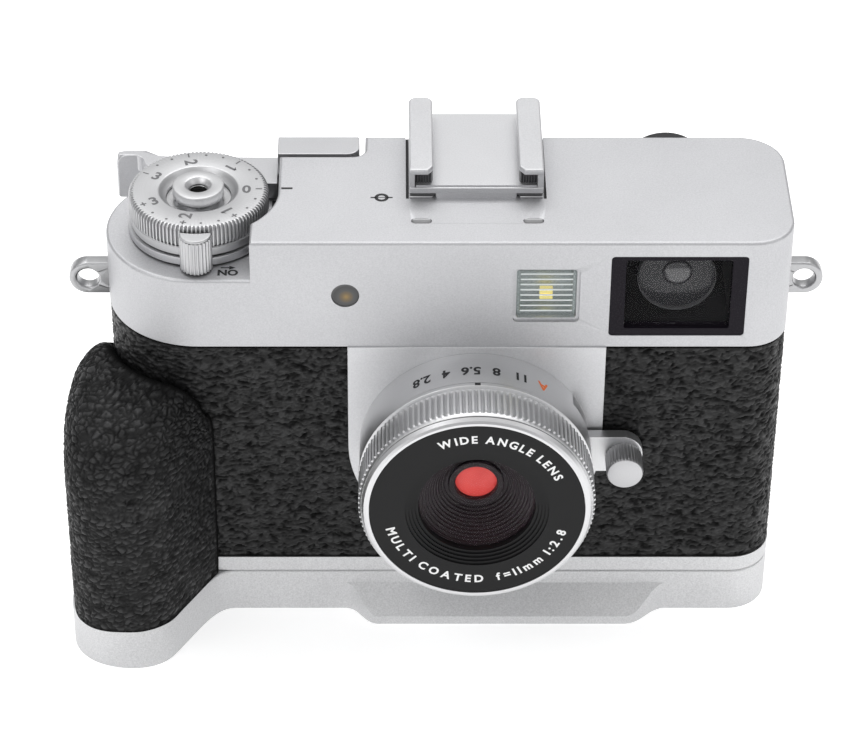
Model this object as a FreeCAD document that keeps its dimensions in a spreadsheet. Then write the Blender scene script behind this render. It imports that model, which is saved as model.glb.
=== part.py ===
import FreeCAD, Part
import math
import os
import Sketcher

V = FreeCAD.Vector

# ---------------------------------------------------------------------------
# Compact rangefinder-style digital camera standing on a screwed-on grip plate.
# Millimetres, +Z up. Origin: mouth of the tripod socket on the underside.
# The lens looks along -Y, its axis is at x = 0. The back is +Y, the exposure
# dial and the grip are on the -X side.
# ---------------------------------------------------------------------------
doc = FreeCAD.newDocument("grip_plate_camera")
sheet = doc.addObject("Spreadsheet::Sheet", "Sizes")

CELLS = [
    # casing
    ("body_left_x", 43.0), ("body_right_x", 48.3), ("half_depth", 14.6),
    ("corner_front", 6.5), ("corner_back", 7.0),
    ("plate_top", 8.0), ("cover_bottom", 8.05), ("leather_bottom", 11.0),
    ("leather_top", 53.8), ("deck_top", 66.25), ("cover_top", 73.3),
    ("cover_wall", 1.2), ("shell_wall", 1.7), ("leather_thick", 0.5),
    ("edge_round", 0.5),
    # lens
    ("lens_height", 34.5), ("lens_plate_r", 20.0), ("lens_plate_thick", 0.8),
    ("barrel_r", 18.2), ("ring_r", 18.35), ("tube_r", 16.6),
    # dial stack, axis over the left end
    ("dial_x", 43.0), ("dial_r", 10.85), ("dial_bottom", 69.7), ("dial_top", 73.3),
    ("dial_bore_r", 5.06), ("post_r", 5.0), ("post_top", 71.6),
    ("button_r", 4.0), ("button_top", 74.1), ("button_travel", 0.8),
    ("stem_r", 2.4), ("release_hole_r", 1.4), ("release_hole_depth", 6.0),
    ("switch_ring_r", 10.6), ("switch_grip_r", 2.5), ("switch_grip_y", 11.1),
    ("hub_r", 10.6), ("lever_top", 69.4),
    # accessory shoe
    ("shoe_slot", 18.9), ("shoe_base_top", 75.2), ("shoe_lip_bottom", 77.5),
    ("shoe_top", 78.55), ("shoe_front_y", 2.6), ("shoe_back_y", 18.0),
    # tripod socket
    ("socket_r", 2.6), ("socket_depth", 5.6),
    # strap lugs
    ("lug_thick", 2.2), ("lug_hole_r", 1.75), ("lug_eye_r", 3.0), ("lug_height", 57.0),
]
for i, (name, value) in enumerate(CELLS, 1):
    sheet.set("A%d" % i, name)
    sheet.set("B%d" % i, str(value))
    sheet.setAlias("B%d" % i, name)
doc.recompute()


def g(name):
    return float(getattr(sheet, name))


NODES = []


def origin_plane(body, role):
    for f in body.Origin.OriginFeatures:
        if f.Role == role:
            return f
    raise RuntimeError(role)


def new_body(label):
    b = doc.addObject("PartDesign::Body", label)
    b.Label = label
    b.Placement = FreeCAD.Placement(V(0, 0, 0), FreeCAD.Rotation())
    NODES.append(b)
    return b


def bind(obj, prop, value):
    """Give a property a number, or bind it to the sheet with an expression."""
    if isinstance(value, str):
        obj.setExpression(prop, value)
    else:
        target = obj
        parts = prop.split(".")
        if len(parts) == 1:
            setattr(target, prop, value)


def add_loop(sk, loop):
    if loop[0] == "c":
        _, x, y, r = loop
        rr = r if not isinstance(r, str) else 1.0
        gi = sk.addGeometry(Part.Circle(V(x, y, 0), V(0, 0, 1), rr), False)
        ci = sk.addConstraint(Sketcher.Constraint("Radius", gi, rr))
        if isinstance(r, str):
            sk.setExpression("Constraints[%d]" % ci, r)
        sk.addConstraint(Sketcher.Constraint("DistanceX", -1, 1, gi, 3, x)) if abs(x) > 1e-9 else None
        sk.addConstraint(Sketcher.Constraint("DistanceY", -1, 1, gi, 3, y)) if abs(y) > 1e-9 else None
        return
    start, segs = loop
    p = V(start[0], start[1], 0)
    for s in segs:
        if s[0] == "l":
            q = V(s[1][0], s[1][1], 0)
            sk.addGeometry(Part.LineSegment(p, q), False)
        elif s[0] == "a":
            q = V(s[2][0], s[2][1], 0)
            sk.addGeometry(Part.ArcOfCircle(p, V(s[1][0], s[1][1], 0), q), False)
        elif s[0] == "s":
            pts = [p] + [V(a, b, 0) for a, b in s[1]]
            q = pts[-1]
            c = Part.BSplineCurve()
            c.interpolate(pts)
            sk.addGeometry(c, False)
        p = q


def poly(pts):
    return (pts[0], [("l", q) for q in pts[1:]] + [("l", pts[0])])


def rect(x0, y0, x1, y1, r=0.0):
    if r <= 0:
        return poly([(x0, y0), (x1, y0), (x1, y1), (x0, y1)])
    k = r * (1 - math.sqrt(0.5))
    return ((x0 + r, y0), [
        ("l", (x1 - r, y0)), ("a", (x1 - k, y0 + k), (x1, y0 + r)),
        ("l", (x1, y1 - r)), ("a", (x1 - k, y1 - k), (x1 - r, y1)),
        ("l", (x0 + r, y1)), ("a", (x0 + k, y1 - k), (x0, y1 - r)),
        ("l", (x0, y0 + r)), ("a", (x0 + k, y0 + k), (x0 + r, y0))])


def slot(x0, x1, y, r):
    return ((x0 + r, y - r), [
        ("l", (x1 - r, y - r)), ("a", (x1, y), (x1 - r, y + r)),
        ("l", (x0 + r, y + r)), ("a", (x0, y), (x0 + r, y - r))])


def sketch(body, name, loops, plane="XY_Plane", at=0.0, origin=(0.0, 0.0)):
    """at: distance of the sketch along the plane's normal (number or expression)."""
    sk = body.newObject("Sketcher::SketchObject", name)
    sk.AttachmentSupport = [(origin_plane(body, plane), "")]
    sk.MapMode = "FlatFace"
    base = at if not isinstance(at, str) else 0.0
    sk.AttachmentOffset = FreeCAD.Placement(V(origin[0], origin[1], base), FreeCAD.Rotation())
    if isinstance(at, str):
        sk.setExpression("AttachmentOffset.Base.z", at)
    for lp in loops:
        add_loop(sk, lp)
    return sk


def volume(body):
    doc.recompute()
    return body.Shape.Volume


def pad(body, name, loops, length, plane="XY_Plane", at=0.0, rev=False, origin=(0.0, 0.0)):
    sk = sketch(body, name + "_sketch", loops, plane, at, origin)
    f = body.newObject("PartDesign::Pad", name)
    f.Profile = sk
    bind(f, "Length", length)
    f.Reversed = rev
    doc.recompute()
    return f


def pocket(body, name, loops, length, plane="XY_Plane", at=0.0, rev=False, origin=(0.0, 0.0)):
    before = volume(body)
    sk = sketch(body, name + "_sketch", loops, plane, at, origin)
    f = body.newObject("PartDesign::Pocket", name)
    f.Profile = sk
    bind(f, "Length", length)
    f.Reversed = rev
    after = volume(body)
    if not after < before - 1e-3:
        raise RuntimeError("pocket %s cut nothing in %s" % (name, body.Label))
    return f


def revolve(body, name, pts, plane="XY_Plane", at=0.0, origin=(0.0, 0.0), loops=None):
    sk = sketch(body, name + "_sketch", loops or [poly(pts)], plane, at, origin)
    f = body.newObject("PartDesign::Revolution", name)
    f.Profile = sk
    f.ReferenceAxis = (sk, ["V_Axis"])
    f.Angle = 360.0
    doc.recompute()
    return f


def groove(body, name, pts, plane="XY_Plane", at=0.0, origin=(0.0, 0.0)):
    before = volume(body)
    sk = sketch(body, name + "_sketch", [poly(pts)], plane, at, origin)
    f = body.newObject("PartDesign::Groove", name)
    f.Profile = sk
    f.ReferenceAxis = (sk, ["V_Axis"])
    f.Angle = 360.0
    after = volume(body)
    if not after < before - 1e-3:
        raise RuntimeError("groove %s cut nothing in %s" % (name, body.Label))
    return f


def fillet(body, name, radius, pick):
    tip = body.Tip
    names = []
    for i, e in enumerate(tip.Shape.Edges, 1):
        pts = [e.valueAt(e.FirstParameter + k * (e.LastParameter - e.FirstParameter) / 4.0) for k in range(5)]
        if all(pick(p) for p in pts):
            names.append("Edge%d" % i)
    if not names:
        raise RuntimeError("no edges for " + name)
    f = body.newObject("PartDesign::Fillet", name)
    f.Base = (tip, names)
    bind(f, "Radius", radius)
    doc.recompute()
    if "Invalid" in f.State or "Error" in f.State or f.Shape.isNull() or not f.Shape.isValid():
        raise RuntimeError("fillet %s failed in %s: %s" % (name, body.Label, f.State))
    return f


def shape_node(label, shape):
    f = doc.addObject("Part::Feature", label)
    f.Label = label
    f.Shape = shape
    f.Placement = FreeCAD.Placement(V(0, 0, 0), FreeCAD.Rotation())
    NODES.append(f)
    return f


def prim_cyl(name, r, length, pos, axis="Z"):
    o = doc.addObject("Part::Cylinder", name)
    bind(o, "Radius", r)
    bind(o, "Height", length)
    rot = {"Z": FreeCAD.Rotation(), "Y": FreeCAD.Rotation(V(1, 0, 0), -90),
           "-Y": FreeCAD.Rotation(V(1, 0, 0), 90), "X": FreeCAD.Rotation(V(0, 1, 0), 90)}[axis]
    o.Placement = FreeCAD.Placement(V(*pos), rot)
    return o


def prim_box(name, p0, p1):
    o = doc.addObject("Part::Box", name)
    o.Length = p1[0] - p0[0]
    o.Width = p1[1] - p0[1]
    o.Height = p1[2] - p0[2]
    o.Placement = FreeCAD.Placement(V(*p0), FreeCAD.Rotation())
    return o


def op(kind, name, objs, node=True):
    o = doc.addObject("Part::" + kind, name)
    if kind == "Cut":
        o.Base, o.Tool = objs
    elif kind in ("MultiFuse", "MultiCommon"):
        o.Shapes = objs
    o.Label = name
    if node:
        NODES.append(o)
    return o


def node_of(obj, label):
    obj.Label = label
    NODES.append(obj)
    return obj


# ------------------------------------------------------------------ casing
X0 = -g("body_left_x")
X1 = g("body_right_x")
HD = g("half_depth")
RF = g("corner_front")
RB = g("corner_back")
Q = math.sqrt(0.5)


def outline(d=0.0):
    """Plan outline of the casing, moved inwards by d."""
    rf, rb, h = RF - d, RB - d, HD - d
    cf = (X1 - RF, -HD + RF)
    cb = (X1 - RB, HD - RB)
    return ((X0, -h), [
        ("l", (cf[0], -h)), ("a", (cf[0] + rf * Q, cf[1] - rf * Q), (X1 - d, cf[1])),
        ("l", (X1 - d, cb[1])), ("a", (cb[0] + rb * Q, cb[1] + rb * Q), (cb[0], h)),
        ("l", (X0, h)), ("a", (X0 - h, 0.0), (X0, -h))])


def outline_front(d, ysplit):
    """The part of the outline in front of y = ysplit."""
    h = HD - d
    rf = RF - d
    cf = (X1 - RF, -HD + RF)
    xs = X0 - math.sqrt(max(h * h - ysplit * ysplit, 0.0))
    cb = (X1 - RB, HD - RB)
    rb = RB - d
    segs = [("l", (cf[0], -h)), ("a", (cf[0] + rf * Q, cf[1] - rf * Q), (X1 - d, cf[1])),
            ("l", (X1 - d, min(ysplit, cb[1])))]
    end = (X1 - d, min(ysplit, cb[1]))
    if ysplit > cb[1]:
        a1 = math.asin((ysplit - cb[1]) / rb)
        end = (cb[0] + rb * math.cos(a1), ysplit)
        segs.append(("a", (cb[0] + rb * math.cos(a1 / 2), cb[1] + rb * math.sin(a1 / 2)), end))
    segs.append(("l", (xs, ysplit)))
    a0 = math.atan2(ysplit, xs - X0)
    am = (a0 + 1.5 * math.pi) / 2
    segs.append(("a", (X0 + h * math.cos(am), h * math.sin(am)), (X0, -h)))
    return ((X0, -h), segs)


def outline_back(d, ysplit):
    """The part of the outline behind y = ysplit."""
    h = HD - d
    rb = RB - d
    cb = (X1 - RB, HD - RB)
    a1 = math.asin((ysplit - cb[1]) / rb)
    p0 = (cb[0] + rb * math.cos(a1), ysplit)
    am = (a1 + math.pi / 2) / 2
    xs = X0 - math.sqrt(h * h - ysplit * ysplit)
    b1 = math.atan2(ysplit, xs - X0)
    bm = (math.pi / 2 + b1) / 2
    return (p0, [("a", (cb[0] + rb * math.cos(am), cb[1] + rb * math.sin(am)), (cb[0], h)),
                 ("l", (X0, h)), ("a", (X0 + h * math.cos(bm), h * math.sin(bm)), (xs, ysplit)),
                 ("l", p0)])


# Raised part of the top cover: dial notch on the left, lever recess behind it.
NOTCH_X, RAISE_X, REC_Y, REC_X = -34.7, -30.65, 9.1, -17.3
ny = -math.sqrt(12.4 ** 2 - (NOTCH_X - X0) ** 2)
ry = -math.sqrt(12.4 ** 2 - (RAISE_X - X0) ** 2)
na = (math.atan2(ny, NOTCH_X - X0) + math.atan2(ry, RAISE_X - X0)) / 2
raised = ((NOTCH_X, -HD), [
    ("l", (X1 - RF, -HD)), ("a", (X1 - RF + RF * Q, -HD + RF - RF * Q), (X1, -HD + RF)),
    ("l", (X1, HD - RB)), ("a", (X1 - RB + RB * Q, HD - RB + RB * Q), (X1 - RB, HD)),
    ("l", (REC_X, HD)), ("l", (REC_X, REC_Y + 2.0)),
    ("a", (REC_X - 2 + 2 * Q, REC_Y + 2 - 2 * Q), (REC_X - 2.0, REC_Y)),
    ("l", (RAISE_X, REC_Y)), ("l", (RAISE_X, ry)),
    ("a", (X0 + 12.4 * math.cos(na), 12.4 * math.sin(na)), (NOTCH_X, ny)),
    ("l", (NOTCH_X, -HD))])


def on_outline(p, tol=0.02):
    if abs(p.y + HD) < tol and p.x >= X0 - tol and p.x <= X1 - RF + tol:
        return True
    if abs(p.y - HD) < tol and p.x >= X0 - tol and p.x <= X1 - RB + tol:
        return True
    if abs(p.x - X1) < tol:
        return True
    if p.x <= X0 + tol and abs(math.hypot(p.x - X0, p.y) - HD) < tol:
        return True
    if abs(math.hypot(p.x - X1 + RF, p.y + HD - RF) - RF) < tol and p.x > X1 - RF and p.y < 0:
        return True
    if abs(math.hypot(p.x - X1 + RB, p.y - HD + RB) - RB) < tol and p.x > X1 - RB and p.y > 0:
        return True
    return False


top = new_body("top_cover")
pad(top, "deck", [outline()], "Sizes.deck_top - Sizes.leather_top", at="Sizes.leather_top")
pad(top, "raised_part", [raised], "Sizes.cover_top - Sizes.deck_top", at="Sizes.deck_top")
fillet(top, "top_edge", "Sizes.edge_round", lambda p: abs(p.z - g("cover_top")) < 0.01)
fillet(top, "deck_edge", "Sizes.edge_round",
       lambda p: abs(p.z - g("deck_top")) < 0.01 and on_outline(p) and p.x < -16.0 and
       not (p.y < 0 and p.x > NOTCH_X + 0.01))
pocket(top, "deck_cavity", [outline(g("cover_wall"))], "Sizes.deck_top - Sizes.leather_top - Sizes.cover_wall",
       at="Sizes.leather_top", rev=True)
w = g("cover_wall")
pocket(top, "raised_cavity", [((-29.0, -HD + w), [
    ("l", (X1 - RF, -HD + w)), ("a", (X1 - RF + (RF - w) * Q, -HD + RF - (RF - w) * Q), (X1 - w, -HD + RF)),
    ("l", (X1 - w, HD - RB)), ("a", (X1 - RB + (RB - w) * Q, HD - RB + (RB - w) * Q), (X1 - RB, HD - w)),
    ("l", (REC_X + 1.4, HD - w)), ("l", (REC_X + 1.4, REC_Y - 1.4)), ("l", (-29.0, REC_Y - 1.4)),
    ("l", (-29.0, -HD + w))])], "Sizes.cover_top - Sizes.leather_top - Sizes.cover_wall",
    at="Sizes.leather_top", rev=True)
# windows in the front wall
pocket(top, "finder_opening", [rect(20.2, 55.9, 41.05, 70.8, 0.6)], 2.2, plane="XZ_Plane", at="Sizes.half_depth")
pocket(top, "led_opening", [rect(5.9, 59.0, 15.1, 68.05, 0.5)], 2.2, plane="XZ_Plane", at="Sizes.half_depth")
pocket(top, "led_recess", [rect(5.4, 58.5, 15.6, 68.55, 0.8)], 0.5, plane="XZ_Plane", at="Sizes.half_depth")
pocket(top, "lamp_opening", [("c", -20.25, 63.5, 2.15)], 2.2, plane="XZ_Plane", at="Sizes.half_depth")
# eyepiece opening in the back wall
pocket(top, "eyepiece_opening", [("c", 30.6, 63.4, 5.6)], 2.2, plane="XZ_Plane", at="-Sizes.half_depth", rev=True)
# microphone slots, post hole and the shoe's screw holes
pocket(top, "mic_slots", [slot(-10.2, -7.0, -8.66, 0.7), slot(6.9, 10.1, -8.66, 0.7)], 2.2, at="Sizes.cover_top")
pocket(top, "shoe_grooves", [rect(-10.95, -g("shoe_front_y") - 0.1, -10.5, 20.0), rect(10.25, -g("shoe_front_y") - 0.1, 10.7, 20.0)],
       0.6, at="Sizes.cover_top")
pocket(top, "post_hole", [("c", X0, 0.0, 5.0)], 2.2, at="Sizes.deck_top")
SHOE_SCREWS = [(-6.0, 1.6), (5.75, 1.6), (-6.0, 12.0), (5.75, 12.0)]
pocket(top, "shoe_screw_holes", [("c", x, y, 0.85) for x, y in SHOE_SCREWS], 2.2, at="Sizes.cover_top")
# slots for the strap lugs in the two end walls
pocket(top, "lug_slots", [rect(-60.0, -1.1, -54.0, 1.1), rect(45.0, -1.1, 50.0, 1.1)], 5.8, at=59.9)
# fixing screw holes at the rear corners of the cover are in the rear cover

shell = new_body("body_shell")
YS = 9.2
pad(shell, "shell_block", [outline_front(g("leather_thick"), YS)], "Sizes.leather_top - Sizes.leather_bottom",
    at="Sizes.leather_bottom")
D = g("leather_thick") + g("shell_wall")
hi = HD - D
xa = X0 - math.sqrt(hi * hi - 64.0)
pocket(shell, "shell_cavity", [((X0, -hi), [
    ("l", (X1 - RF, -hi)), ("a", (X1 - RF + (RF - D) * Q, -HD + RF - (RF - D) * Q), (X1 - D, -HD + RF)),
    ("l", (X1 - D, YS)), ("l", (xa, YS)), ("l", (xa, 8.0)),
    ("a", (X0 - hi, 0.0), (X0, -hi))])], "Sizes.leather_top - Sizes.leather_bottom",
    at="Sizes.leather_bottom", rev=True)
pocket(shell, "lens_opening", [("c", 0.0, g("lens_height"), 17.2)], 3.0, plane="XZ_Plane", at="Sizes.half_depth")

leather = new_body("front_leather")
pad(leather, "leather_block", [outline_front(0.0, YS)], "Sizes.leather_top - Sizes.leather_bottom",
    at="Sizes.leather_bottom")
LT = g("leather_thick")
hl = HD - LT
xl = X0 - math.sqrt(hl * hl - YS * YS)
al = math.atan2(YS, xl - X0)
aml = (al + 1.5 * math.pi) / 2
cbx, cby = X1 - RB, HD - RB
a1 = math.asin((YS - cby) / (RB - LT))
pe = (cbx + (RB - LT) * math.cos(a1), YS)
# cutting away everything inside the covering leaves a thin U-shaped wrap
pocket(leather, "leather_inside", [((X0, -hl), [
    ("l", (X1 - RF, -hl)), ("a", (X1 - RF + (RF - LT) * Q, -HD + RF - (RF - LT) * Q), (X1 - LT, -HD + RF)),
    ("l", (X1 - LT, cby)), ("a", (cbx + (RB - LT) * math.cos(a1 / 2), cby + (RB - LT) * math.sin(a1 / 2)), pe),
    ("l", (xl, YS)), ("a", (X0 + hl * math.cos(aml), hl * math.sin(aml)), (X0, -hl))])],
    "Sizes.leather_top - Sizes.leather_bottom", at="Sizes.leather_bottom", rev=True)
LZ, LR = g("lens_height"), g("lens_plate_r")
plate_loop = ((-LR, 53.8), [("l", (-LR, LZ)), ("a", (0.0, LZ - LR), (LR, LZ)), ("l", (LR, 53.8)), ("l", (-LR, 53.8))])
pocket(leather, "plate_cutout", [plate_loop], 2.0, plane="XZ_Plane", at="Sizes.half_depth")

lens_plate = new_body("lens_plate")
pad(lens_plate, "plate_blank", [plate_loop], "Sizes.lens_plate_thick", plane="XZ_Plane",
    at="Sizes.half_depth + 0.3", rev=True)
pocket(lens_plate, "plate_bore", [("c", 0.0, LZ, 17.2)], 2.0, plane="XZ_Plane", at="Sizes.half_depth + 0.3")

rear = new_body("rear_cover")
pad(rear, "rear_block", [outline_back(0.0, YS)], "Sizes.leather_top - Sizes.leather_bottom", at="Sizes.leather_bottom")
pocket(rear, "rear_cavity", [rect(-46.0, YS - 0.5, 42.0, 12.9)], 38.8, at=13.0, rev=True)
pocket(rear, "screen_opening", [rect(-20.0, 15.0, 34.0, 50.5, 1.5)], 3.0, plane="XZ_Plane", at=-14.6, rev=True)
pocket(rear, "leather_recess", [rect(-42.5, 12.2, -22.0, 52.6, 1.5)], 0.5, plane="XZ_Plane", at=-14.6, rev=True)
pocket(rear, "button_holes", [("c", -32.0, 38.0, 2.66), ("c", -32.0, 27.0, 2.66)], 4.0, plane="XZ_Plane",
       at=-14.6, rev=True)
REAR_SCREWS = [(-46.2, 13.3), (-46.2, 51.5), (38.2, 13.3), (38.2, 51.5)]
pocket(rear, "screw_recesses", [("c", x, z, 1.3) for x, z in REAR_SCREWS], 1.0, plane="XZ_Plane", at=-14.6, rev=True)

rear_leather = new_body("rear_leather")
pad(rear_leather, "rear_skin", [rect(-42.5, 12.2, -22.0, 52.6, 1.5)], 0.5, plane="XZ_Plane", at=-14.6)
pocket(rear_leather, "rear_skin_holes", [("c", -32.0, 38.0, 2.66), ("c", -32.0, 27.0, 2.66)], 2.0,
       plane="XZ_Plane", at=-14.6, rev=True)

for label, bz in (("playback_button", 38.0), ("menu_button", 27.0)):
    b = new_body(label)
    pad(b, "cap", [("c", -32.0, bz, 2.6)], 2.7, plane="XZ_Plane", at=-15.3)
    pad(b, "foot", [("c", -32.0, bz, 3.2)], 0.8, plane="XZ_Plane", at=-12.6)

bottom = new_body("bottom_cover")
pad(bottom, "bottom_block", [outline()], "Sizes.leather_bottom - Sizes.cover_bottom", at="Sizes.cover_bottom")
fillet(bottom, "bottom_edge", 0.3, lambda p: abs(p.z - g("cover_bottom")) < 0.01)
pocket(bottom, "bottom_cavity", [outline(1.6)], 1.6, at=9.4, rev=True)
pad(bottom, "hinge_lugs", [rect(16.9, 6.9, 18.9, 9.6), rect(40.1, 6.9, 42.1, 9.6)], 1.1, at=9.4)
pocket(bottom, "door_opening", [rect(19.0, -8.6, 40.0, 9.7, 0.8)], 3.0, at=8.0, rev=True)
pocket(bottom, "pin_seats", [("c", 8.0, 9.35, 0.42)], 24.0, plane="YZ_Plane", at=17.5, rev=True)
pocket(bottom, "socket_hole", [("c", 0.0, 0.0, 5.0)], 3.0, at=8.0, rev=True)

# ------------------------------------------------------------------ grip plate
base = new_body("base_plate")
pad(base, "plate", [outline()], "Sizes.plate_top")
bump = ((-38.0, -13.5), [("l", (-38.3, -14.6)), ("s", [
    (-40.8, -15.3), (-42.45, -16.9), (-44.8, -20.4), (-47.2, -24.5), (-49.6, -27.6), (-52.9, -29.0),
    (-56.6, -29.0), (-60.1, -27.9), (-62.8, -25.75), (-64.2, -23.2), (-64.5, -18.0), (-64.3, -11.0),
    (-62.9, -4.5), (-60.2, 0.4), (-56.9, 4.2)]), ("l", (-50.0, 0.0)), ("l", (-38.0, -13.5))])
pad(base, "grip_foot", [bump], "Sizes.plate_top")
tongue = ((-22.4, -13.5), [("l", (-21.5, -14.6)), ("s", [(-18.3, -16.2), (-17.1, -17.7), (-14.8, -18.5)]),
          ("l", (24.6, -18.5)), ("s", [(27.0, -17.7), (29.0, -15.9), (31.4, -14.6)]),
          ("l", (32.0, -13.5)), ("l", (-22.4, -13.5))])
pad(base, "tongue", [tongue], 5.5)
pocket(base, "ramp", [poly([(-14.6, 5.5), (-14.6, 9.0), (-22.0, 9.0), (-22.0, -1.9)])], 70.0,
       plane="YZ_Plane", at=-30.0, rev=True)
fillet(base, "plate_edge", 0.35, lambda p: abs(p.z - g("plate_top")) < 0.01 and on_outline(p) and p.x > -35.0)
pocket(base, "door_window", [rect(17.5, -10.0, 41.5, 10.9, 1.2)], 10.0, at=9.0)
pocket(base, "mount_screw_hole", [("c", 0.0, 0.0, 5.55)], 10.0, at=9.0)
GRIP_SCREWS = [(-52.5, -22.5), (-58.5, -16.0)]
pocket(base, "grip_screw_holes", [("c", x, y, 2.0) for x, y in GRIP_SCREWS], 2.4, at=0.0, rev=True)

mount_screw = new_body("base_mount_screw")
pad(mount_screw, "head", [("c", 0.0, 0.0, 5.5)], 7.6)
pad(mount_screw, "stud", [("c", 0.0, 0.0, 2.95)], 5.4, at=7.6)
pocket(mount_screw, "tripod_hole", [("c", 0.0, 0.0, "Sizes.socket_r")], "Sizes.socket_depth", at=0.0, rev=True)

socket = new_body("camera_socket")
pad(socket, "bush", [("c", 0.0, 0.0, 4.95), ("c", 0.0, 0.0, 3.0)], 5.2, at=8.2)
pad(socket, "flange", [("c", 0.0, 0.0, 7.0), ("c", 0.0, 0.0, 3.0)], 1.2, at=9.45)


# Grip: lofted sections from the plate up to a rounded shoulder.
SECTION = [(-58.6, 2.6), (-61.3, 0.1), (-63.6, -4.4), (-64.5, -11.0), (-64.6, -18.0), (-63.9, -24.4),
           (-62.2, -27.4), (-59.6, -29.0), (-56.2, -29.5), (-52.3, -29.2), (-48.6, -27.1), (-46.1, -23.3),
           (-43.3, -18.6), (-41.3, -15.2), (-41.8, -12.0), (-48.0, -6.0), (-53.5, 0.0)]


# Where the top of the grip meets the casing, one entry per outer point of SECTION:
# angle about the dial axis, height of the top, height of the shoulder, spare offset in x.
CROWN = [(173.7, 42.2, 38.0), (186.4, 44.6, 38.0), (194.9, 45.4, 38.0), (205.0, 45.9, 37.5), (215.6, 46.2, 36.5),
         (223.9, 46.4, 34.5), (231.9, 46.5, 33.0), (239.8, 46.5, 32.0), (246.8, 46.5, 31.0), (253.4, 46.3, 31.0),
         (259.0, 45.8, 31.0), (264.0, 44.9, 32.0), (268.8, 43.4, 34.0), (270.0, 41.0, 35.0)]


def section_points(z, inset=0.0):
    """Plan section of the grip at height z: upright sides, then a full rounded shoulder."""
    tap = 1.0 if z > 12.0 else 1.0 - 0.012 * (12.0 - z) / 4.0
    pts = []
    for i, (x, y) in enumerate(SECTION):
        if inset and i <= 13:
            xa, ya = SECTION[max(i - 1, 0)]
            xb, yb = SECTION[i + 1]
            tx, ty = xb - xa, yb - ya
            k = math.hypot(tx, ty)
            x, y = x - ty / k * inset, y + tx / k * inset
        if i <= 13:
            ang, zt, zs = CROWN[i]
            zt, zs = zt - inset, zs - inset * 0.5
            xi = X0 + 13.9 * math.cos(math.radians(ang)) + (0.7 if i == 13 else 0.0)
            yi = 13.9 * math.sin(math.radians(ang))
            f = 1.0 if z <= zs else max(0.0, 1.0 - min(1.0, (z - zs) / (zt - zs)) ** 2.6) ** (1 / 2.6)
            x, y = xi + (x - xi) * f, yi + (y - yi) * f
        x = -53.0 + (x + 53.0) * tap
        pts.append(V(x, y, z))
    return pts


def loft(levels, inset=0.0):
    wires = []
    for z in levels:
        c = Part.BSplineCurve()
        c.interpolate(section_points(z, inset), PeriodicFlag=True)
        wires.append(Part.Wire([c.toShape()]))
    return Part.makeLoft(wires, True, True)


def wire_of(loop, z):
    start, segs = loop
    p = V(start[0], start[1], z)
    edges = []
    for s in segs:
        if s[0] == "l":
            q = V(s[1][0], s[1][1], z)
            if p.distanceToPoint(q) > 1e-6:
                edges.append(Part.LineSegment(p, q).toShape())
        else:
            q = V(s[2][0], s[2][1], z)
            edges.append(Part.Arc(p, V(s[1][0], s[1][1], z), q).toShape())
        p = q
    return Part.Wire(edges)


casing_prism = Part.Face(wire_of(outline(0.0), -1.0)).extrude(V(0, 0, 90.0))
outer = loft([8.0, 12.0, 31.0, 34.0, 36.5, 38.5, 40.5, 42.2, 43.6, 44.7, 45.5, 46.1, 46.4])
inner = loft([8.0, 12.0, 31.0, 34.0, 36.5, 38.5, 40.5, 42.2, 43.4, 44.3, 44.9], 1.3)
grip_leather = shape_node("grip_leather", outer.cut(inner).cut(casing_prism))
core_shape = inner.cut(casing_prism)
for x, y in GRIP_SCREWS:
    core_shape = core_shape.cut(Part.makeCylinder(1.25, 8.2, V(x, y, 7.9)))
grip_core = shape_node("grip_core", core_shape)

# Two flat-head screws from below hold the core to the plate.
sc = []
for x, y in GRIP_SCREWS:
    head = Part.makeCylinder(1.95, 1.9, V(x, y, 0.4))
    slot_cut = Part.makeBox(3.0, 0.6, 0.5, V(x - 1.5, y - 0.3, 0.4))
    sc.append(head.cut(slot_cut))
grip_screw_node = shape_node("grip_screws", Part.makeCompound(sc))

# ------------------------------------------------------------------ battery bay
door = new_body("battery_door")
pad(door, "leaf", [rect(19.2, -8.4, 39.8, 8.6, 0.6)], 1.2, at=8.15)
pad(door, "hinge_knuckle", [("c", 8.0, 9.35, 0.9)], 19.8, plane="YZ_Plane", at=19.6)
pocket(door, "pin_hole", [("c", 8.0, 9.35, 0.45)], 30.0, plane="YZ_Plane", at=15.0, rev=True)
pin = node_of(prim_cyl("door_pin", 0.40, 23.6, (17.7, 8.0, 9.35), "X"), "door_pin")
ch_out = prim_box("chamber_outer", (18.0, -8.4, 11.4), (41.0, 6.6, 52.0))
ch_in = prim_box("chamber_inner", (19.0, -7.4, 9.0), (40.0, 5.6, 51.0))
battery_chamber = op("Cut", "battery_chamber", (ch_out, ch_in))
battery = new_body("battery")
pad(battery, "cell", [rect(19.6, -7.0, 39.4, 1.4, 1.0)], 38.0, at=11.9)
memory_card = node_of(prim_box("memory_card", (19.6, 2.6, 12.4), (39.4, 4.7, 36.4)), "memory_card")

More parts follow.
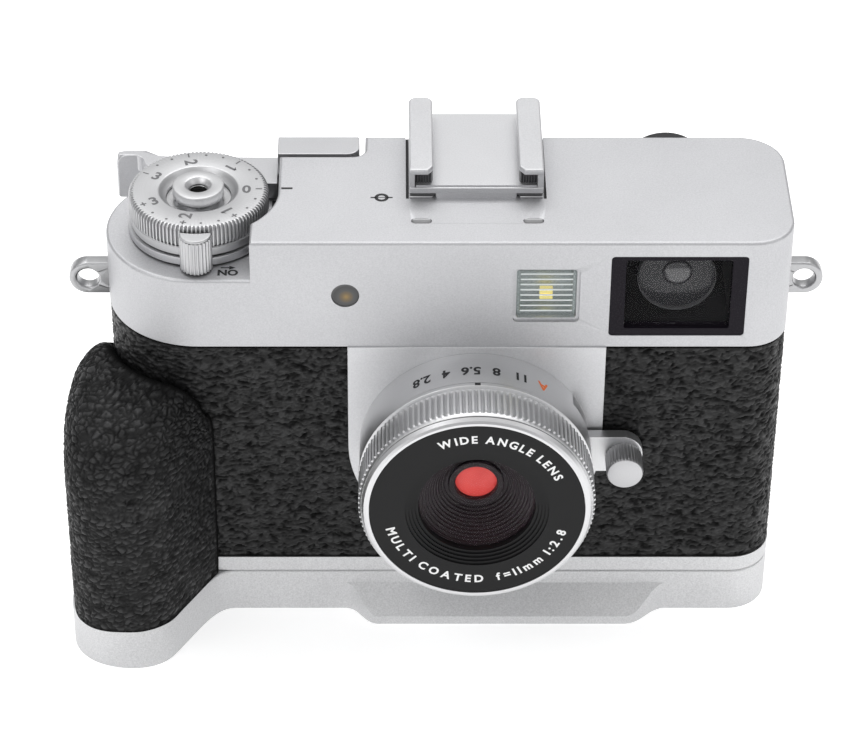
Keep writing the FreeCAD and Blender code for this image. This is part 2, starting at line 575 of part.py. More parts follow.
# ------------------------------------------------------------------ electronics
board = new_body("main_board")
pad(board, "board", [rect(-50.0, 7.0, 16.5, 8.2)], 38.0, at=13.0)
pad(board, "chips", [rect(-12.0, 5.6, 2.0, 7.0), rect(-36.0, 5.8, -26.0, 7.0)], 14.0, at=26.0)
sensor = new_body("image_sensor")
pad(sensor, "carrier", [rect(-13.0, LZ - 10.0, 13.0, LZ + 10.0)], 1.6, plane="XZ_Plane", at=-1.2)
pad(sensor, "chip", [rect(-9.0, LZ - 7.0, 9.0, LZ + 7.0)], 0.8, plane="XZ_Plane", at=0.4)
lcd = new_body("lcd_panel")
pad(lcd, "panel", [rect(-18.5, 15.6, 32.5, 49.9)], 2.4, plane="XZ_Plane", at=-13.5)
lcd_glass = new_body("lcd_glass")
pad(lcd_glass, "glass", [rect(-20.0, 15.0, 34.0, 50.5, 1.5)], 0.9, plane="XZ_Plane", at=-14.45)
heads = []
for x, z in REAR_SCREWS:
    hd = Part.makeCylinder(1.25, 0.9, V(x, 13.6, z), V(0, 1, 0))
    hd = hd.cut(Part.makeBox(1.7, 0.5, 0.35, V(x - 0.85, 14.2, z - 0.175)))
    hd = hd.cut(Part.makeBox(0.35, 0.5, 1.7, V(x - 0.175, 14.2, z - 0.85)))
    heads.append(hd)
rear_screws = shape_node("rear_screws", Part.makeCompound(heads))

# ------------------------------------------------------------------ viewfinder
bezel = new_body("viewfinder_bezel")
pad(bezel, "frame", [rect(20.2, 55.9, 41.05, 70.8, 0.6)], 1.9, plane="XZ_Plane", at="Sizes.half_depth - 0.15", rev=True)
pocket(bezel, "frame_window", [rect(22.5, 57.2, 38.7, 70.0, 0.4)], 5.0, plane="XZ_Plane", at="Sizes.half_depth")
vwin = new_body("viewfinder_window")
pad(vwin, "pane", [rect(22.5, 57.2, 38.7, 70.0, 0.4)], 0.8, plane="XZ_Plane", at=13.9, rev=True)
vbox = new_body("viewfinder_box")
pad(vbox, "box", [rect(21.2, 56.3, 40.0, 71.3)], 16.0, plane="XZ_Plane", at=12.55, rev=True)
pocket(vbox, "box_inside", [rect(22.2, 57.0, 39.0, 70.5)], 15.0, plane="XZ_Plane", at=13.5)
pocket(vbox, "box_back", [("c", 30.6, 63.4, 4.0)], 6.0, plane="XZ_Plane", at=0.0)
obj_lens = new_body("viewfinder_objective")
revolve(obj_lens, "lens", None, plane="XY_Plane", at=64.4, origin=(30.6, 0.0),
        loops=[((0.0, -12.2), [("a", (3.2, -11.7), (6.0, -10.6)), ("l", (6.0, -9.4)), ("l", (0.0, -9.4)),
                               ("l", (0.0, -12.2))])])
eye_h = new_body("eyepiece_housing")
pad(eye_h, "tube", [("c", 30.6, 63.4, 5.55), ("c", 30.6, 63.4, 4.6)], 14.4, plane="XZ_Plane", at=-17.9)
pad(eye_h, "collar", [("c", 30.6, 63.4, 6.3), ("c", 30.6, 63.4, 4.6)], 1.6, plane="XZ_Plane", at=-16.2)
eye_l = new_body("eyepiece_lens")
pad(eye_l, "lens", [("c", 30.6, 63.4, 4.55)], 2.2, plane="XZ_Plane", at=-16.8)
eyecup = new_body("eyecup")
pad(eyecup, "cup", [("c", 30.6, 63.4, 7.0), ("c", 30.6, 63.4, 5.6)], 3.9, plane="XZ_Plane", at=-20.4)

# ------------------------------------------------------------------ lamps
led_win = new_body("led_window")
pad(led_win, "pane", [rect(5.9, 59.0, 15.1, 68.05, 0.5)], 1.1, plane="XZ_Plane", at=14.3, rev=True)
led_ref = new_body("led_reflector")
pad(led_ref, "bowl", [rect(5.6, 58.7, 15.4, 68.4, 0.4)], 4.4, plane="XZ_Plane", at=13.15, rev=True)
pocket(led_ref, "bowl_inside", [rect(6.4, 59.5, 14.6, 67.6, 0.4)], 3.2, plane="XZ_Plane", at=13.15)
led_chips = shape_node("led_chips", Part.makeCompound([
    Part.makeBox(2.6, 0.9, 2.4, V(7.4, -10.85, 62.3)), Part.makeBox(2.6, 0.9, 2.4, V(10.9, -10.85, 62.3))]))
lamp_win = new_body("lamp_window")
pad(lamp_win, "disc", [("c", -20.25, 63.5, 2.1)], 1.0, plane="XZ_Plane", at=14.4, rev=True)
lamp_led = new_body("lamp_led")
pad(lamp_led, "seat", [("c", -20.25, 63.5, 2.1)], 1.0, plane="XZ_Plane", at=12.3, rev=True)
pad(lamp_led, "dome", [("c", -20.0, 63.3, 1.1)], 0.7, plane="XZ_Plane", at=12.3)

# ------------------------------------------------------------------ accessory shoe
shoe = new_body("accessory_shoe")
SX0, SX1 = -10.45, 10.2
SI0, SI1 = -9.63, 9.27
SF, SB = -g("shoe_front_y"), g("shoe_back_y")
pad(shoe, "floor", [rect(SX0, SF, SX1, SB, 0.4)], "Sizes.shoe_base_top - Sizes.cover_top", at="Sizes.cover_top")
pad(shoe, "walls", [poly([(SX0, SF + 0.3), (SI0, SF + 0.3), (SI0, SB), (SX0, SB)]),
                    poly([(SI1, SF + 0.3), (SX1, SF + 0.3), (SX1, SB), (SI1, SB)])],
    "Sizes.shoe_lip_bottom - Sizes.shoe_base_top", at="Sizes.shoe_base_top")
pad(shoe, "lips", [poly([(SX0, SF), (-7.6, SF), (-6.75, SF + 1.2), (-6.75, SB), (SX0, SB)]),
                   poly([(7.25, SF), (SX1, SF), (SX1, SB), (6.4, SB), (6.4, SF + 1.2)])],
    "Sizes.shoe_top - Sizes.shoe_lip_bottom", at="Sizes.shoe_lip_bottom")
pocket(shoe, "front_reliefs", [rect(SX0 + 0.35, SF - 0.1, -6.5, SF + 1.6), rect(6.25, SF - 0.1, SX1 - 0.35, SF + 1.6)],
       0.85, at="Sizes.cover_top", rev=True)
pocket(shoe, "screw_seats", [("c", x, y, 1.75) for x, y in SHOE_SCREWS], 0.9, at="Sizes.shoe_base_top")
pocket(shoe, "screw_ways", [("c", x, y, 0.9) for x, y in SHOE_SCREWS], 3.0, at="Sizes.shoe_base_top")
heads = []
for x, y in SHOE_SCREWS:
    hd = Part.makeCylinder(1.7, 0.75, V(x, y, 74.3)).fuse(Part.makeCylinder(0.8, 3.6, V(x, y, 70.9))).removeSplitter()
    hd = hd.cut(Part.makeBox(2.2, 0.4, 0.5, V(x - 1.1, y - 0.2, 74.75))).cut(
        Part.makeBox(0.4, 2.2, 0.5, V(x - 0.2, y - 1.1, 74.75)))
    heads.append(hd)
shoe_screws = shape_node("shoe_screws", Part.makeCompound(heads))
spring = new_body("shoe_spring")
pad(spring, "leaf", [rect(-9.4, -2.2, 9.1, 17.8)], 0.25, at="Sizes.shoe_base_top")


def slot_solid(x0, x1, y, r, z0, z1):
    f = Part.Face(wire_of(slot(x0, x1, y, r), z0))
    return f.extrude(V(0, 0, z1 - z0))


mics = shape_node("microphones", Part.makeCompound([
    slot_solid(-10.2, -7.0, -8.66, 0.68, 72.2, 72.9), slot_solid(6.9, 10.1, -8.66, 0.68, 72.2, 72.9)]))

# ------------------------------------------------------------------ dial stack
AX = (X0, 0.0)
post = new_body("dial_post")
revolve(post, "post_profile", [(3.4, 64.05), (6.5, 64.05), (6.5, 65.05), (5.0, 65.05), (5.0, 71.6), (2.46, 71.6),
                               (2.46, 70.2), (3.4, 70.2)], plane="XZ_Plane", origin=AX)
dial = new_body("exposure_dial")
revolve(dial, "dial_profile", [(5.06, 69.7), (10.6, 69.7), (10.85, 69.95), (10.85, 72.75), (10.2, 73.3), (5.9, 73.3),
                               (5.5, 72.5), (5.06, 71.9)], plane="XZ_Plane", origin=AX)
button = new_body("shutter_button")
revolve(button, "button_profile", [(1.4, 68.1), (1.4, 73.3), (2.0, 74.05), (2.4, 74.1), (3.5, 74.1), (4.0, 73.6),
                                   (4.0, 72.75), (2.4, 72.75), (2.4, 64.1), (3.0, 64.1), (3.0, 63.3), (0.0, 63.3),
                                   (0.0, 68.1)], plane="XZ_Plane", origin=AX)
bspring = new_body("shutter_spring")
revolve(bspring, "disc_spring", [(2.7, 71.62), (3.05, 71.62), (3.9, 72.72), (3.55, 72.72)], plane="XZ_Plane", origin=AX)

switch = new_body("power_switch")
revolve(switch, "ring", [(5.06, 68.0), (10.6, 68.0), (10.6, 69.5), (5.06, 69.5)], plane="XZ_Plane", origin=AX)
GY = -g("switch_grip_y")


def grip_bar(z):
    """D-section of the switch grip: outer arc of the grip, inner arc that clears the dial."""
    rc, rg = 11.15, g("switch_grip_r")
    # intersection of the two circles, centres (0,0) and (0,GY)
    d = abs(GY)
    a = (d * d + rc * rc - rg * rg) / (2 * d)
    h = math.sqrt(rc * rc - a * a)
    xr, yr = X0 + h, -a
    xl_ = X0 - h
    return ((xl_, yr), [("a", (X0, -rc), (xr, yr)), ("a", (X0, GY - rg), (xl_, yr))])


pad(switch, "grip", [grip_bar(0)], 6.2, at=66.6)
pad(switch, "grip_neck", [rect(X0 - 1.9, -12.4, X0 + 1.9, -9.6)], 1.5, at=68.0)

lever = new_body("advance_lever")
revolve(lever, "hub", [(5.06, 66.5), (11.05, 66.5), (11.05, 67.8), (5.06, 67.8)], plane="XZ_Plane", origin=AX)
pad(lever, "arm_low", [((-31.05, 7.2), [("l", (-31.05, 14.55)), ("l", (-47.3, 14.9)), ("s", [(-49.6, 15.5),
    (-51.6, 16.5), (-53.4, 17.1), (-55.6, 16.7), (-56.6, 15.4)]), ("l", (-56.2, 14.9)), ("l", (-55.0, 12.0)), ("l", (-50.0, 7.0)),
    ("l", (-43.0, 9.0)), ("l", (-36.0, 7.2)), ("l", (-31.05, 7.2))])], 2.9, at=66.5)
pad(lever, "thumb_bar", [((-30.95, 9.7), [("l", (-18.2 - 2.0, 9.7)),
    ("a", (-18.2 - 2 + 2 * Q, 11.7 - 2 * Q), (-18.2, 11.7)), ("l", (-18.2, 14.55)), ("l", (-31.05, 14.55)),
    ("l", (-31.05, 9.7)), ("l", (-30.95, 9.7))])], 6.8, at=66.5)
pad(lever, "thumb_flange", [((-56.9, 15.05), [("l", (-53.4, 15.4)), ("s", [(-51.0, 15.3), (-49.2, 15.0)]), ("l", (-49.6, 16.0)),
    ("s", [(-51.6, 16.7), (-53.4, 17.1), (-55.6, 16.7), (-56.7, 16.3)]), ("l", (-56.9, 15.05))])], 8.2, at=61.2)
fillet(lever, "bar_edges", 0.45, lambda p: abs(p.z - 73.3) < 0.01 and p.x > -31.0 and p.y < 14.5)
pocket(lever, "dial_clearance", [("c", X0, 0.0, 11.05)], 3.0, at=67.8, rev=True)

# ------------------------------------------------------------------ strap lugs
def lug(label, side):
    """Flat eyelet plate: stub held in the end wall, eye outside it."""
    b = new_body(label)
    cx = 51.6 if side > 0 else -60.8
    xi = 46.4 if side > 0 else -55.6
    s = side
    r = g("lug_eye_r")
    zc = g("lug_height")
    loop = ((xi, zc - 2.9), [("l", (cx, zc - 2.9)),
            ("a", (cx + s * r, zc), (cx, zc + 2.9)), ("l", (xi, zc + 2.9)), ("l", (xi, zc - 2.9))])
    pad(b, "plate", [loop], "Sizes.lug_thick", plane="XZ_Plane", at=1.1, rev=True)
    pocket(b, "eye", [("c", cx, zc, "Sizes.lug_hole_r")], 5.0, plane="XZ_Plane", at=2.0)
    return b


lug("strap_lug_left", -1)
lug("strap_lug_right", 1)

# ------------------------------------------------------------------ lens (axis x=0, z=34.5; profiles are (r, y))
LA = "Sizes.lens_height"
barrel = new_body("lens_barrel")
revolve(barrel, "barrel_profile", [(17.15, -12.0), (17.15, -14.92), (18.2, -14.92), (18.2, -22.25),
                                   (16.6, -22.25), (16.6, -30.25), (15.4, -30.25), (15.4, -21.2), (17.0, -21.2),
                                   (17.0, -12.0)], at=LA)
# slot that lets the focusing arm through the barrel wall
half = math.radians(34.0)


def sector(r0, r1, half_a, cz):
    c, s = math.cos(half_a), math.sin(half_a)
    return ((r0 * c, cz - r0 * s), [("a", (r0, cz), (r0 * c, cz + r0 * s)), ("l", (r1 * c, cz + r1 * s)),
                                    ("a", (r1, cz), (r1 * c, cz - r1 * s)), ("l", (r0 * c, cz - r0 * s))])


pocket(barrel, "focus_slot", [sector(16.95, 19.5, half, LZ)], 2.4, plane="XZ_Plane", at=17.4)
focus = new_body("focus_ring")
revolve(focus, "ring", [(15.3, -14.0), (16.92, -14.0), (16.92, -20.6), (15.3, -20.6)], at=LA)
pad(focus, "arm", [((16.2, LZ - 3.4), [("l", (22.9, LZ - 3.4)), ("a", (26.3, LZ), (22.9, LZ + 3.4)),
                                       ("l", (16.2, LZ + 3.4)), ("l", (16.2, LZ - 3.4))])], 1.8, plane="XZ_Plane",
    at=15.35)
knob = new_body("focus_knob")
revolve(knob, "knob_profile", [(0.0, -17.15), (2.4, -17.15), (2.9, -17.6), (2.9, -21.4), (2.4, -21.9), (0.0, -21.9)],
        at=34.3, origin=(23.3, 0.0))
ring = new_body("aperture_ring")
revolve(ring, "ring_profile", [(16.66, -22.4), (18.35, -22.4), (18.35, -23.2), (18.0, -23.4), (18.0, -23.8),
                               (18.35, -24.0), (18.35, -29.4), (18.1, -29.6), (17.9, -30.15), (16.66, -30.15)], at=LA)
fbezel = new_body("front_bezel")
revolve(fbezel, "bezel_profile", [(15.4, -30.3), (17.85, -30.3), (17.5, -30.9), (17.1, -31.1), (16.7, -31.1),
                                  (16.7, -30.45), (15.4, -30.45)], at=LA)
nring = new_body("name_ring")
revolve(nring, "name_profile", [(16.65, -30.5), (16.65, -31.0), (11.1, -31.0), (11.1, -30.7), (10.6, -30.7),
                                (10.6, -30.4), (10.1, -30.4), (10.1, -30.1), (9.6, -30.1), (9.6, -29.8), (9.1, -29.8),
                                (9.1, -28.6), (15.3, -28.6), (15.3, -30.5)], at=LA)
fglass = new_body("front_glass")
revolve(fglass, "glass_profile", None, at=LA,
        loops=[((0.0, -29.9), [("a", (4.6, -29.75), (9.05, -29.3)), ("l", (9.05, -28.7)), ("l", (0.0, -28.7)),
                               ("l", (0.0, -29.9))])])
baffle = new_body("lens_baffle")
revolve(baffle, "baffle_profile", [(15.3, -28.5), (9.0, -28.5), (8.4, -27.8), (8.4, -27.3), (7.4, -26.8), (7.4, -26.3),
                                   (6.4, -25.8), (6.4, -25.3), (5.4, -24.9), (4.6, -24.4), (4.6, -22.5), (15.3, -22.5)],
        at=LA)
felem = new_body("front_element")
revolve(felem, "element_profile", None, at=LA,
        loops=[((0.0, -24.2), [("a", (2.3, -23.9), (4.55, -23.1)), ("l", (4.55, -20.9)), ("l", (0.0, -20.9)),
                               ("l", (0.0, -24.2))])])
iris = new_body("iris")
revolve(iris, "iris_profile", [(2.4, -20.3), (15.2, -20.3), (15.2, -19.3), (2.4, -19.3)], at=LA)
rgroup = new_body("rear_lens_group")
revolve(rgroup, "group_profile", [(0.0, -18.6), (11.0, -18.6), (11.0, -14.0), (13.5, -14.0), (13.5, -11.9), (8.5, -11.9),
                                  (8.5, -3.0), (0.0, -3.0)], at=LA)

# ------------------------------------------------------------------ verification and export
doc.recompute()
bad = []
for o in doc.Objects:
    if any(s in ("Invalid", "Error") for s in o.State):
        bad.append((o.Label, o.State))
for o in NODES:
    s = o.Shape
    if s.isNull() or not s.isValid() or not s.Solids:
        bad.append((o.Label, "shape"))
if bad:
    raise RuntimeError(str(bad))
if len(NODES) > 60 or len({o.Label for o in NODES}) != len(NODES):
    raise RuntimeError("node list")
os.makedirs("parts", exist_ok=True)
for o in NODES:
    o.Shape.exportStep("parts/%s.step" % o.Label)
print(len(NODES), "sub-parts")
for o in NODES:
    b = o.Shape.BoundBox
    print("%-22s vol %9.1f solids %d  x %.2f..%.2f y %.2f..%.2f z %.2f..%.2f" % (
        o.Label, o.Shape.Volume, len(o.Shape.Solids), b.XMin, b.XMax, b.YMin, b.YMax, b.ZMin, b.ZMax))
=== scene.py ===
import math
import random

import bmesh
import bpy
from mathutils import Matrix, Vector, noise


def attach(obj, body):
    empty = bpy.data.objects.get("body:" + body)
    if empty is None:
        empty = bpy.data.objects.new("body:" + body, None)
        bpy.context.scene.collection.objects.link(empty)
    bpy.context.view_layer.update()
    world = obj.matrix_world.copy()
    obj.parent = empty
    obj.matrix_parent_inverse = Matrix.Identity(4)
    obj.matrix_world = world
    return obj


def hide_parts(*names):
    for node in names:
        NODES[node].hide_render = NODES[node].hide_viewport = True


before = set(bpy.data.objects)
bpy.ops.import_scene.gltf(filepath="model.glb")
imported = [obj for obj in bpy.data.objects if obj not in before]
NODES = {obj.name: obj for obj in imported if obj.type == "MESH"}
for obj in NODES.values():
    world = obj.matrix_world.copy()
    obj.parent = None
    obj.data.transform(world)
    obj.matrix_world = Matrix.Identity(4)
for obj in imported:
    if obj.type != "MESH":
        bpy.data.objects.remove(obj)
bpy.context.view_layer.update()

MM = 0.001
PI = math.pi

# ---------------------------------------------------------------- small helpers


def link(obj):
    bpy.context.scene.collection.objects.link(obj)
    return obj


def mesh_obj(name, verts, faces, smooth=35.0):
    """Verts in millimetres, in the row frame."""
    me = bpy.data.meshes.new(name)
    me.from_pydata([tuple(c * MM for c in v) for v in verts], [], faces)
    me.validate()
    bm = bmesh.new()
    bm.from_mesh(me)
    bmesh.ops.recalc_face_normals(bm, faces=bm.faces)
    bm.to_mesh(me)
    bm.free()
    me.shade_smooth()
    me.set_sharp_from_angle(angle=math.radians(smooth))
    return link(bpy.data.objects.new(name, me))


def bevel(obj, width, segments=2, angle=35.0, weld=False):
    if weld:
        w = obj.modifiers.new("weld", "WELD")
        w.merge_threshold = 2e-6
    b = obj.modifiers.new("bevel", "BEVEL")
    b.width = width * MM
    b.segments = segments
    b.limit_method = "ANGLE"
    b.angle_limit = math.radians(angle)
    b.use_clamp_overlap = True
    b.harden_normals = False
    n = obj.modifiers.new("normals", "WEIGHTED_NORMAL")
    n.keep_sharp = False
    n.weight = 100
    return obj


def place(kind, c, r, a, t):
    """kind Y: lens axis (angle a from the top towards +X, t = y). kind Z: upright axis (angle a from +X, t = z)."""
    if kind == "Y":
        return (c[0] + r * math.sin(a), t, c[1] + r * math.cos(a))
    return (c[0] + r * math.cos(a), c[1] + r * math.sin(a), t)


def lathe(name, kind, c, profile, seg=160, knurl=None, closed=True, smooth=35.0):
    """profile: (r, t[, k]); knurl = (teeth, depth, samples list of 0..1) cuts grooves where k > 0."""
    if knurl:
        teeth, depth, pat = knurl
        seg = teeth * len(pat)
    verts, faces = [], []
    n = len(profile)
    for i in range(seg):
        a = 2 * PI * i / seg
        f = 0.0
        if knurl:
            f = depth * pat[i % len(pat)]
        for p in profile:
            k = p[2] if len(p) > 2 else 0.0
            verts.append(place(kind, c, max(p[0] - f * k, 0.0), a, p[1]))
    last = n if closed else n - 1
    for i in range(seg):
        j = (i + 1) % seg
        for k in range(last):
            k2 = (k + 1) % n
            q = [i * n + k, j * n + k, j * n + k2, i * n + k2]
            if profile[k][0] < 1e-6 and profile[k2][0] < 1e-6:
                continue
            if profile[k][0] < 1e-6:
                q = [i * n + k, j * n + k2, i * n + k2]
            elif profile[k2][0] < 1e-6:
                q = [i * n + k, j * n + k, i * n + k2]
            faces.append(q)
    o = mesh_obj(name, verts, faces, smooth)
    bm = bmesh.new()
    bm.from_mesh(o.data)
    bmesh.ops.remove_doubles(bm, verts=bm.verts, dist=1e-7)
    bmesh.ops.recalc_face_normals(bm, faces=bm.faces)
    bm.to_mesh(o.data)
    bm.free()
    o.data.shade_smooth()
    o.data.set_sharp_from_angle(angle=math.radians(smooth))
    w = o.modifiers.new("normals", "WEIGHTED_NORMAL")
    w.keep_sharp = True
    w.weight = 90
    return o


def prism(name, pts, lo, hi, plane="XY", bev=0.0, seg=2):
    """Closed prism of a plan polygon. plane XY: pts (x, y), lo..hi z. plane XZ: pts (x, z), lo..hi y."""
    n = len(pts)
    verts = []
    for t in (lo, hi):
        for a, b in pts:
            verts.append((a, b, t) if plane == "XY" else (a, t, b))
    faces = [list(range(n))[::-1], list(range(n, 2 * n))]
    for i in range(n):
        j = (i + 1) % n
        faces.append([i, j, n + j, n + i])
    o = mesh_obj(name, verts, faces)
    if bev:
        bevel(o, bev, seg)
    return o


def join(name, objs):
    """Joins plain meshes (modifiers applied) into one object."""
    dg = bpy.context.evaluated_depsgraph_get()
    dg.update()
    bm = bmesh.new()
    for o in objs:
        me = bpy.data.meshes.new_from_object(o.evaluated_get(dg))
        me.transform(o.matrix_world)
        bm.from_mesh(me)
    me = bpy.data.meshes.new(name)
    bm.to_mesh(me)
    bm.free()
    for o in objs:
        bpy.data.objects.remove(o)
    me.shade_smooth()
    me.set_sharp_from_angle(angle=math.radians(50))
    o = link(bpy.data.objects.new(name, me))
    w = o.modifiers.new("normals", "WEIGHTED_NORMAL")
    w.keep_sharp = True
    w.weight = 100
    return o


def text_mesh(body, size, depth=0.0, bold=0.018):
    """Glyph outlines in millimetres as (verts, faces), centred, from Blender's own font."""
    cu = bpy.data.curves.new("txt", "FONT")
    cu.body = body
    cu.size = size
    cu.align_x = "CENTER"
    cu.align_y = "CENTER"
    cu.resolution_u = 3
    cu.extrude = depth
    cu.offset = bold * size
    ob = link(bpy.data.objects.new("txt", cu))
    bpy.context.view_layer.update()
    dg = bpy.context.evaluated_depsgraph_get()
    me = bpy.data.meshes.new_from_object(ob.evaluated_get(dg))
    bm = bmesh.new()
    bm.from_mesh(me)
    bmesh.ops.remove_doubles(bm, verts=bm.verts, dist=1e-4)
    bmesh.ops.triangulate(bm, faces=bm.faces)
    vs = [v.co.copy() for v in bm.verts]
    fs = [[v.index for v in f.verts] for f in bm.faces]
    bm.free()
    bpy.data.objects.remove(ob)
    bpy.data.curves.remove(cu)
    bpy.data.meshes.remove(me)
    return vs, fs


def map_text(items, fn):
    """items: list of (verts, faces, data); fn maps (glyph vertex, data) to a point."""
    verts, faces = [], []
    for vs, fs, data in items:
        k = len(verts)
        verts += [fn(v, data) for v in vs]
        faces += [[k + i for i in f] for f in fs]
    return verts, faces


# ---------------------------------------------------------------- materials


class Mat:
    def __init__(self, name):
        self.m = bpy.data.materials.new(name)
        self.m.use_nodes = True
        self.t = self.m.node_tree
        self.b = self.t.nodes["Principled BSDF"]
        self.coord = self.t.nodes.new("ShaderNodeTexCoord")

    def n(self, kind, **kw):
        nd = self.t.nodes.new(kind)
        for k, v in kw.items():
            if k.startswith("i_"):
                nd.inputs[k[2:].replace("_", " ")].default_value = v
            else:
                setattr(nd, k, v)
        return nd

    def l(self, a, b):
        self.t.links.new(a, b)

    def mapping(self, scale=(1, 1, 1), rot=(0, 0, 0), loc=(0, 0, 0)):
        mp = self.n("ShaderNodeMapping")
        mp.inputs["Scale"].default_value = scale
        mp.inputs["Rotation"].default_value = rot
        mp.inputs["Location"].default_value = loc
        self.l(self.coord.outputs["Object"], mp.inputs["Vector"])
        return mp.outputs["Vector"]

    def noise(self, vec, scale, detail=3.0, rough=0.5, distortion=0.0):
        nz = self.n("ShaderNodeTexNoise")
        nz.inputs["Scale"].default_value = scale
        nz.inputs["Detail"].default_value = detail
        nz.inputs["Roughness"].default_value = rough
        nz.inputs["Distortion"].default_value = distortion
        if vec is not None:
            self.l(vec, nz.inputs["Vector"])
        return nz.outputs["Fac"]

    def ramp(self, fac, stops, interp="LINEAR"):
        r = self.n("ShaderNodeValToRGB")
        r.color_ramp.interpolation = interp
        e = r.color_ramp.elements
        while len(e) > len(stops):
            e.remove(e[-1])
        while len(e) < len(stops):
            e.new(0.5)
        for el, (p, c) in zip(e, stops):
            el.position = p
            el.color = c if len(c) == 4 else (*c, 1)
        self.l(fac, r.inputs["Fac"])
        return r.outputs["Color"]

    def math(self, op, a, b=None, c=None):
        nd = self.n("ShaderNodeMath", operation=op)
        for i, v in enumerate((a, b, c)):
            if v is None:
                continue
            if isinstance(v, (int, float)):
                nd.inputs[i].default_value = v
            else:
                self.l(v, nd.inputs[i])
        return nd.outputs[0]

    def bump(self, height, strength, dist):
        bp = self.n("ShaderNodeBump")
        bp.inputs["Strength"].default_value = strength
        bp.inputs["Distance"].default_value = dist
        self.l(height, bp.inputs["Height"])
        self.l(bp.outputs["Normal"], self.b.inputs["Normal"])
        return bp

    def set(self, **kw):
        for k, v in kw.items():
            self.b.inputs[k.replace("_", " ")].default_value = v


def blasted(name, base, rough, grain=0.5, spread=0.05, scale=9000.0, metal=1.0):
    """Bead-blasted, satin-plated metal: fine grain in colour, roughness and normal."""
    m = Mat(name)
    v = m.mapping()
    fine = m.noise(v, scale, 2.0, 0.6)
    cloud = m.noise(v, 60.0, 3.0, 0.5)
    mix = m.math("ADD", m.math("MULTIPLY", fine, 0.75), m.math("MULTIPLY", cloud, 0.25))
    lo = tuple(max(c - spread, 0) for c in base)
    hi = tuple(min(c + spread, 1) for c in base)
    m.l(m.ramp(mix, [(0.3, lo), (0.7, hi)]), m.b.inputs["Base Color"])
    rr = m.math("ADD", m.math("MULTIPLY", fine, 0.14), rough - 0.07)
    m.l(rr, m.b.inputs["Roughness"])
    m.set(Metallic=metal)
    m.bump(fine, grain, 0.00002)
    return m.m


def turned(name, base, rough, axis, centre, pitch=0.06, grain=0.12, spread=0.04):
    """Lathe-turned metal: fine concentric tool marks about an axis (Y or Z) through centre, in mm."""
    m = Mat(name)
    v = m.mapping(loc=(-centre[0] * MM, -centre[1] * MM, -centre[2] * MM))
    sep = m.n("ShaderNodeSeparateXYZ")
    m.l(v, sep.inputs[0])
    a, b, t = (sep.outputs[0], sep.outputs[2], sep.outputs[1]) if axis == "Y" else (sep.outputs[0], sep.outputs[1], sep.outputs[2])
    r = m.math("SQRT", m.math("ADD", m.math("MULTIPLY", a, a), m.math("MULTIPLY", b, b)))
    rt = m.math("ADD", r, m.math("MULTIPLY", t, 1.0))
    comb = m.n("ShaderNodeCombineXYZ")
    m.l(m.math("MULTIPLY", rt, 1.0), comb.inputs[0])
    rings = m.noise(comb.outputs[0], 1000.0 / pitch * 0.35, 2.0, 0.7)
    fine = m.noise(v, 9000.0, 2.0, 0.6)
    mixv = m.math("ADD", m.math("MULTIPLY", rings, 0.5), m.math("MULTIPLY", fine, 0.5))
    lo = tuple(max(c - spread, 0) for c in base)
    hi = tuple(min(c + spread, 1) for c in base)
    m.l(m.ramp(mixv, [(0.3, lo), (0.7, hi)]), m.b.inputs["Base Color"])
    m.l(m.math("ADD", m.math("MULTIPLY", fine, 0.12), rough - 0.06), m.b.inputs["Roughness"])
    m.set(Metallic=1.0)
    m.bump(mixv, grain, 0.00002)
    return m.m


def plastic(name, base, rough, scale=5000.0, grain=0.25, spread=0.01, spec=0.5):
    m = Mat(name)
    v = m.mapping()
    fine = m.noise(v, scale, 3.0, 0.6)
    lo = tuple(max(c - spread, 0) for c in base)
    hi = tuple(min(c + spread, 1) for c in base)
    m.l(m.ramp(fine, [(0.3, lo), (0.7, hi)]), m.b.inputs["Base Color"])
    m.l(m.math("ADD", m.math("MULTIPLY", fine, 0.15), rough - 0.075), m.b.inputs["Roughness"])
    m.set(Specular_IOR_Level=spec)
    if grain:
        m.bump(fine, grain, 0.00002)
    return m.m


def glass(name, tint, rough=0.03, coat=None, alpha=0.25):
    """Thin clear window: mostly see-through, with a coated reflection that varies slightly."""
    m = Mat(name)
    v = m.mapping()
    cl = m.noise(v, 90.0, 2.0, 0.5)
    lo = tuple(c * 0.92 for c in tint)
    m.l(m.ramp(cl, [(0.35, lo), (0.65, tint)]), m.b.inputs["Base Color"])
    m.l(m.math("ADD", m.math("MULTIPLY", cl, 0.02), rough), m.b.inputs["Roughness"])
    m.set(Alpha=alpha, Specular_IOR_Level=0.6, IOR=1.5)
    if coat:
        m.set(Coat_Weight=1.0, Coat_Roughness=0.02)
        m.set(Coat_Tint=(*coat, 1.0))
    m.m.surface_render_method = "DITHERED"
    return m.m


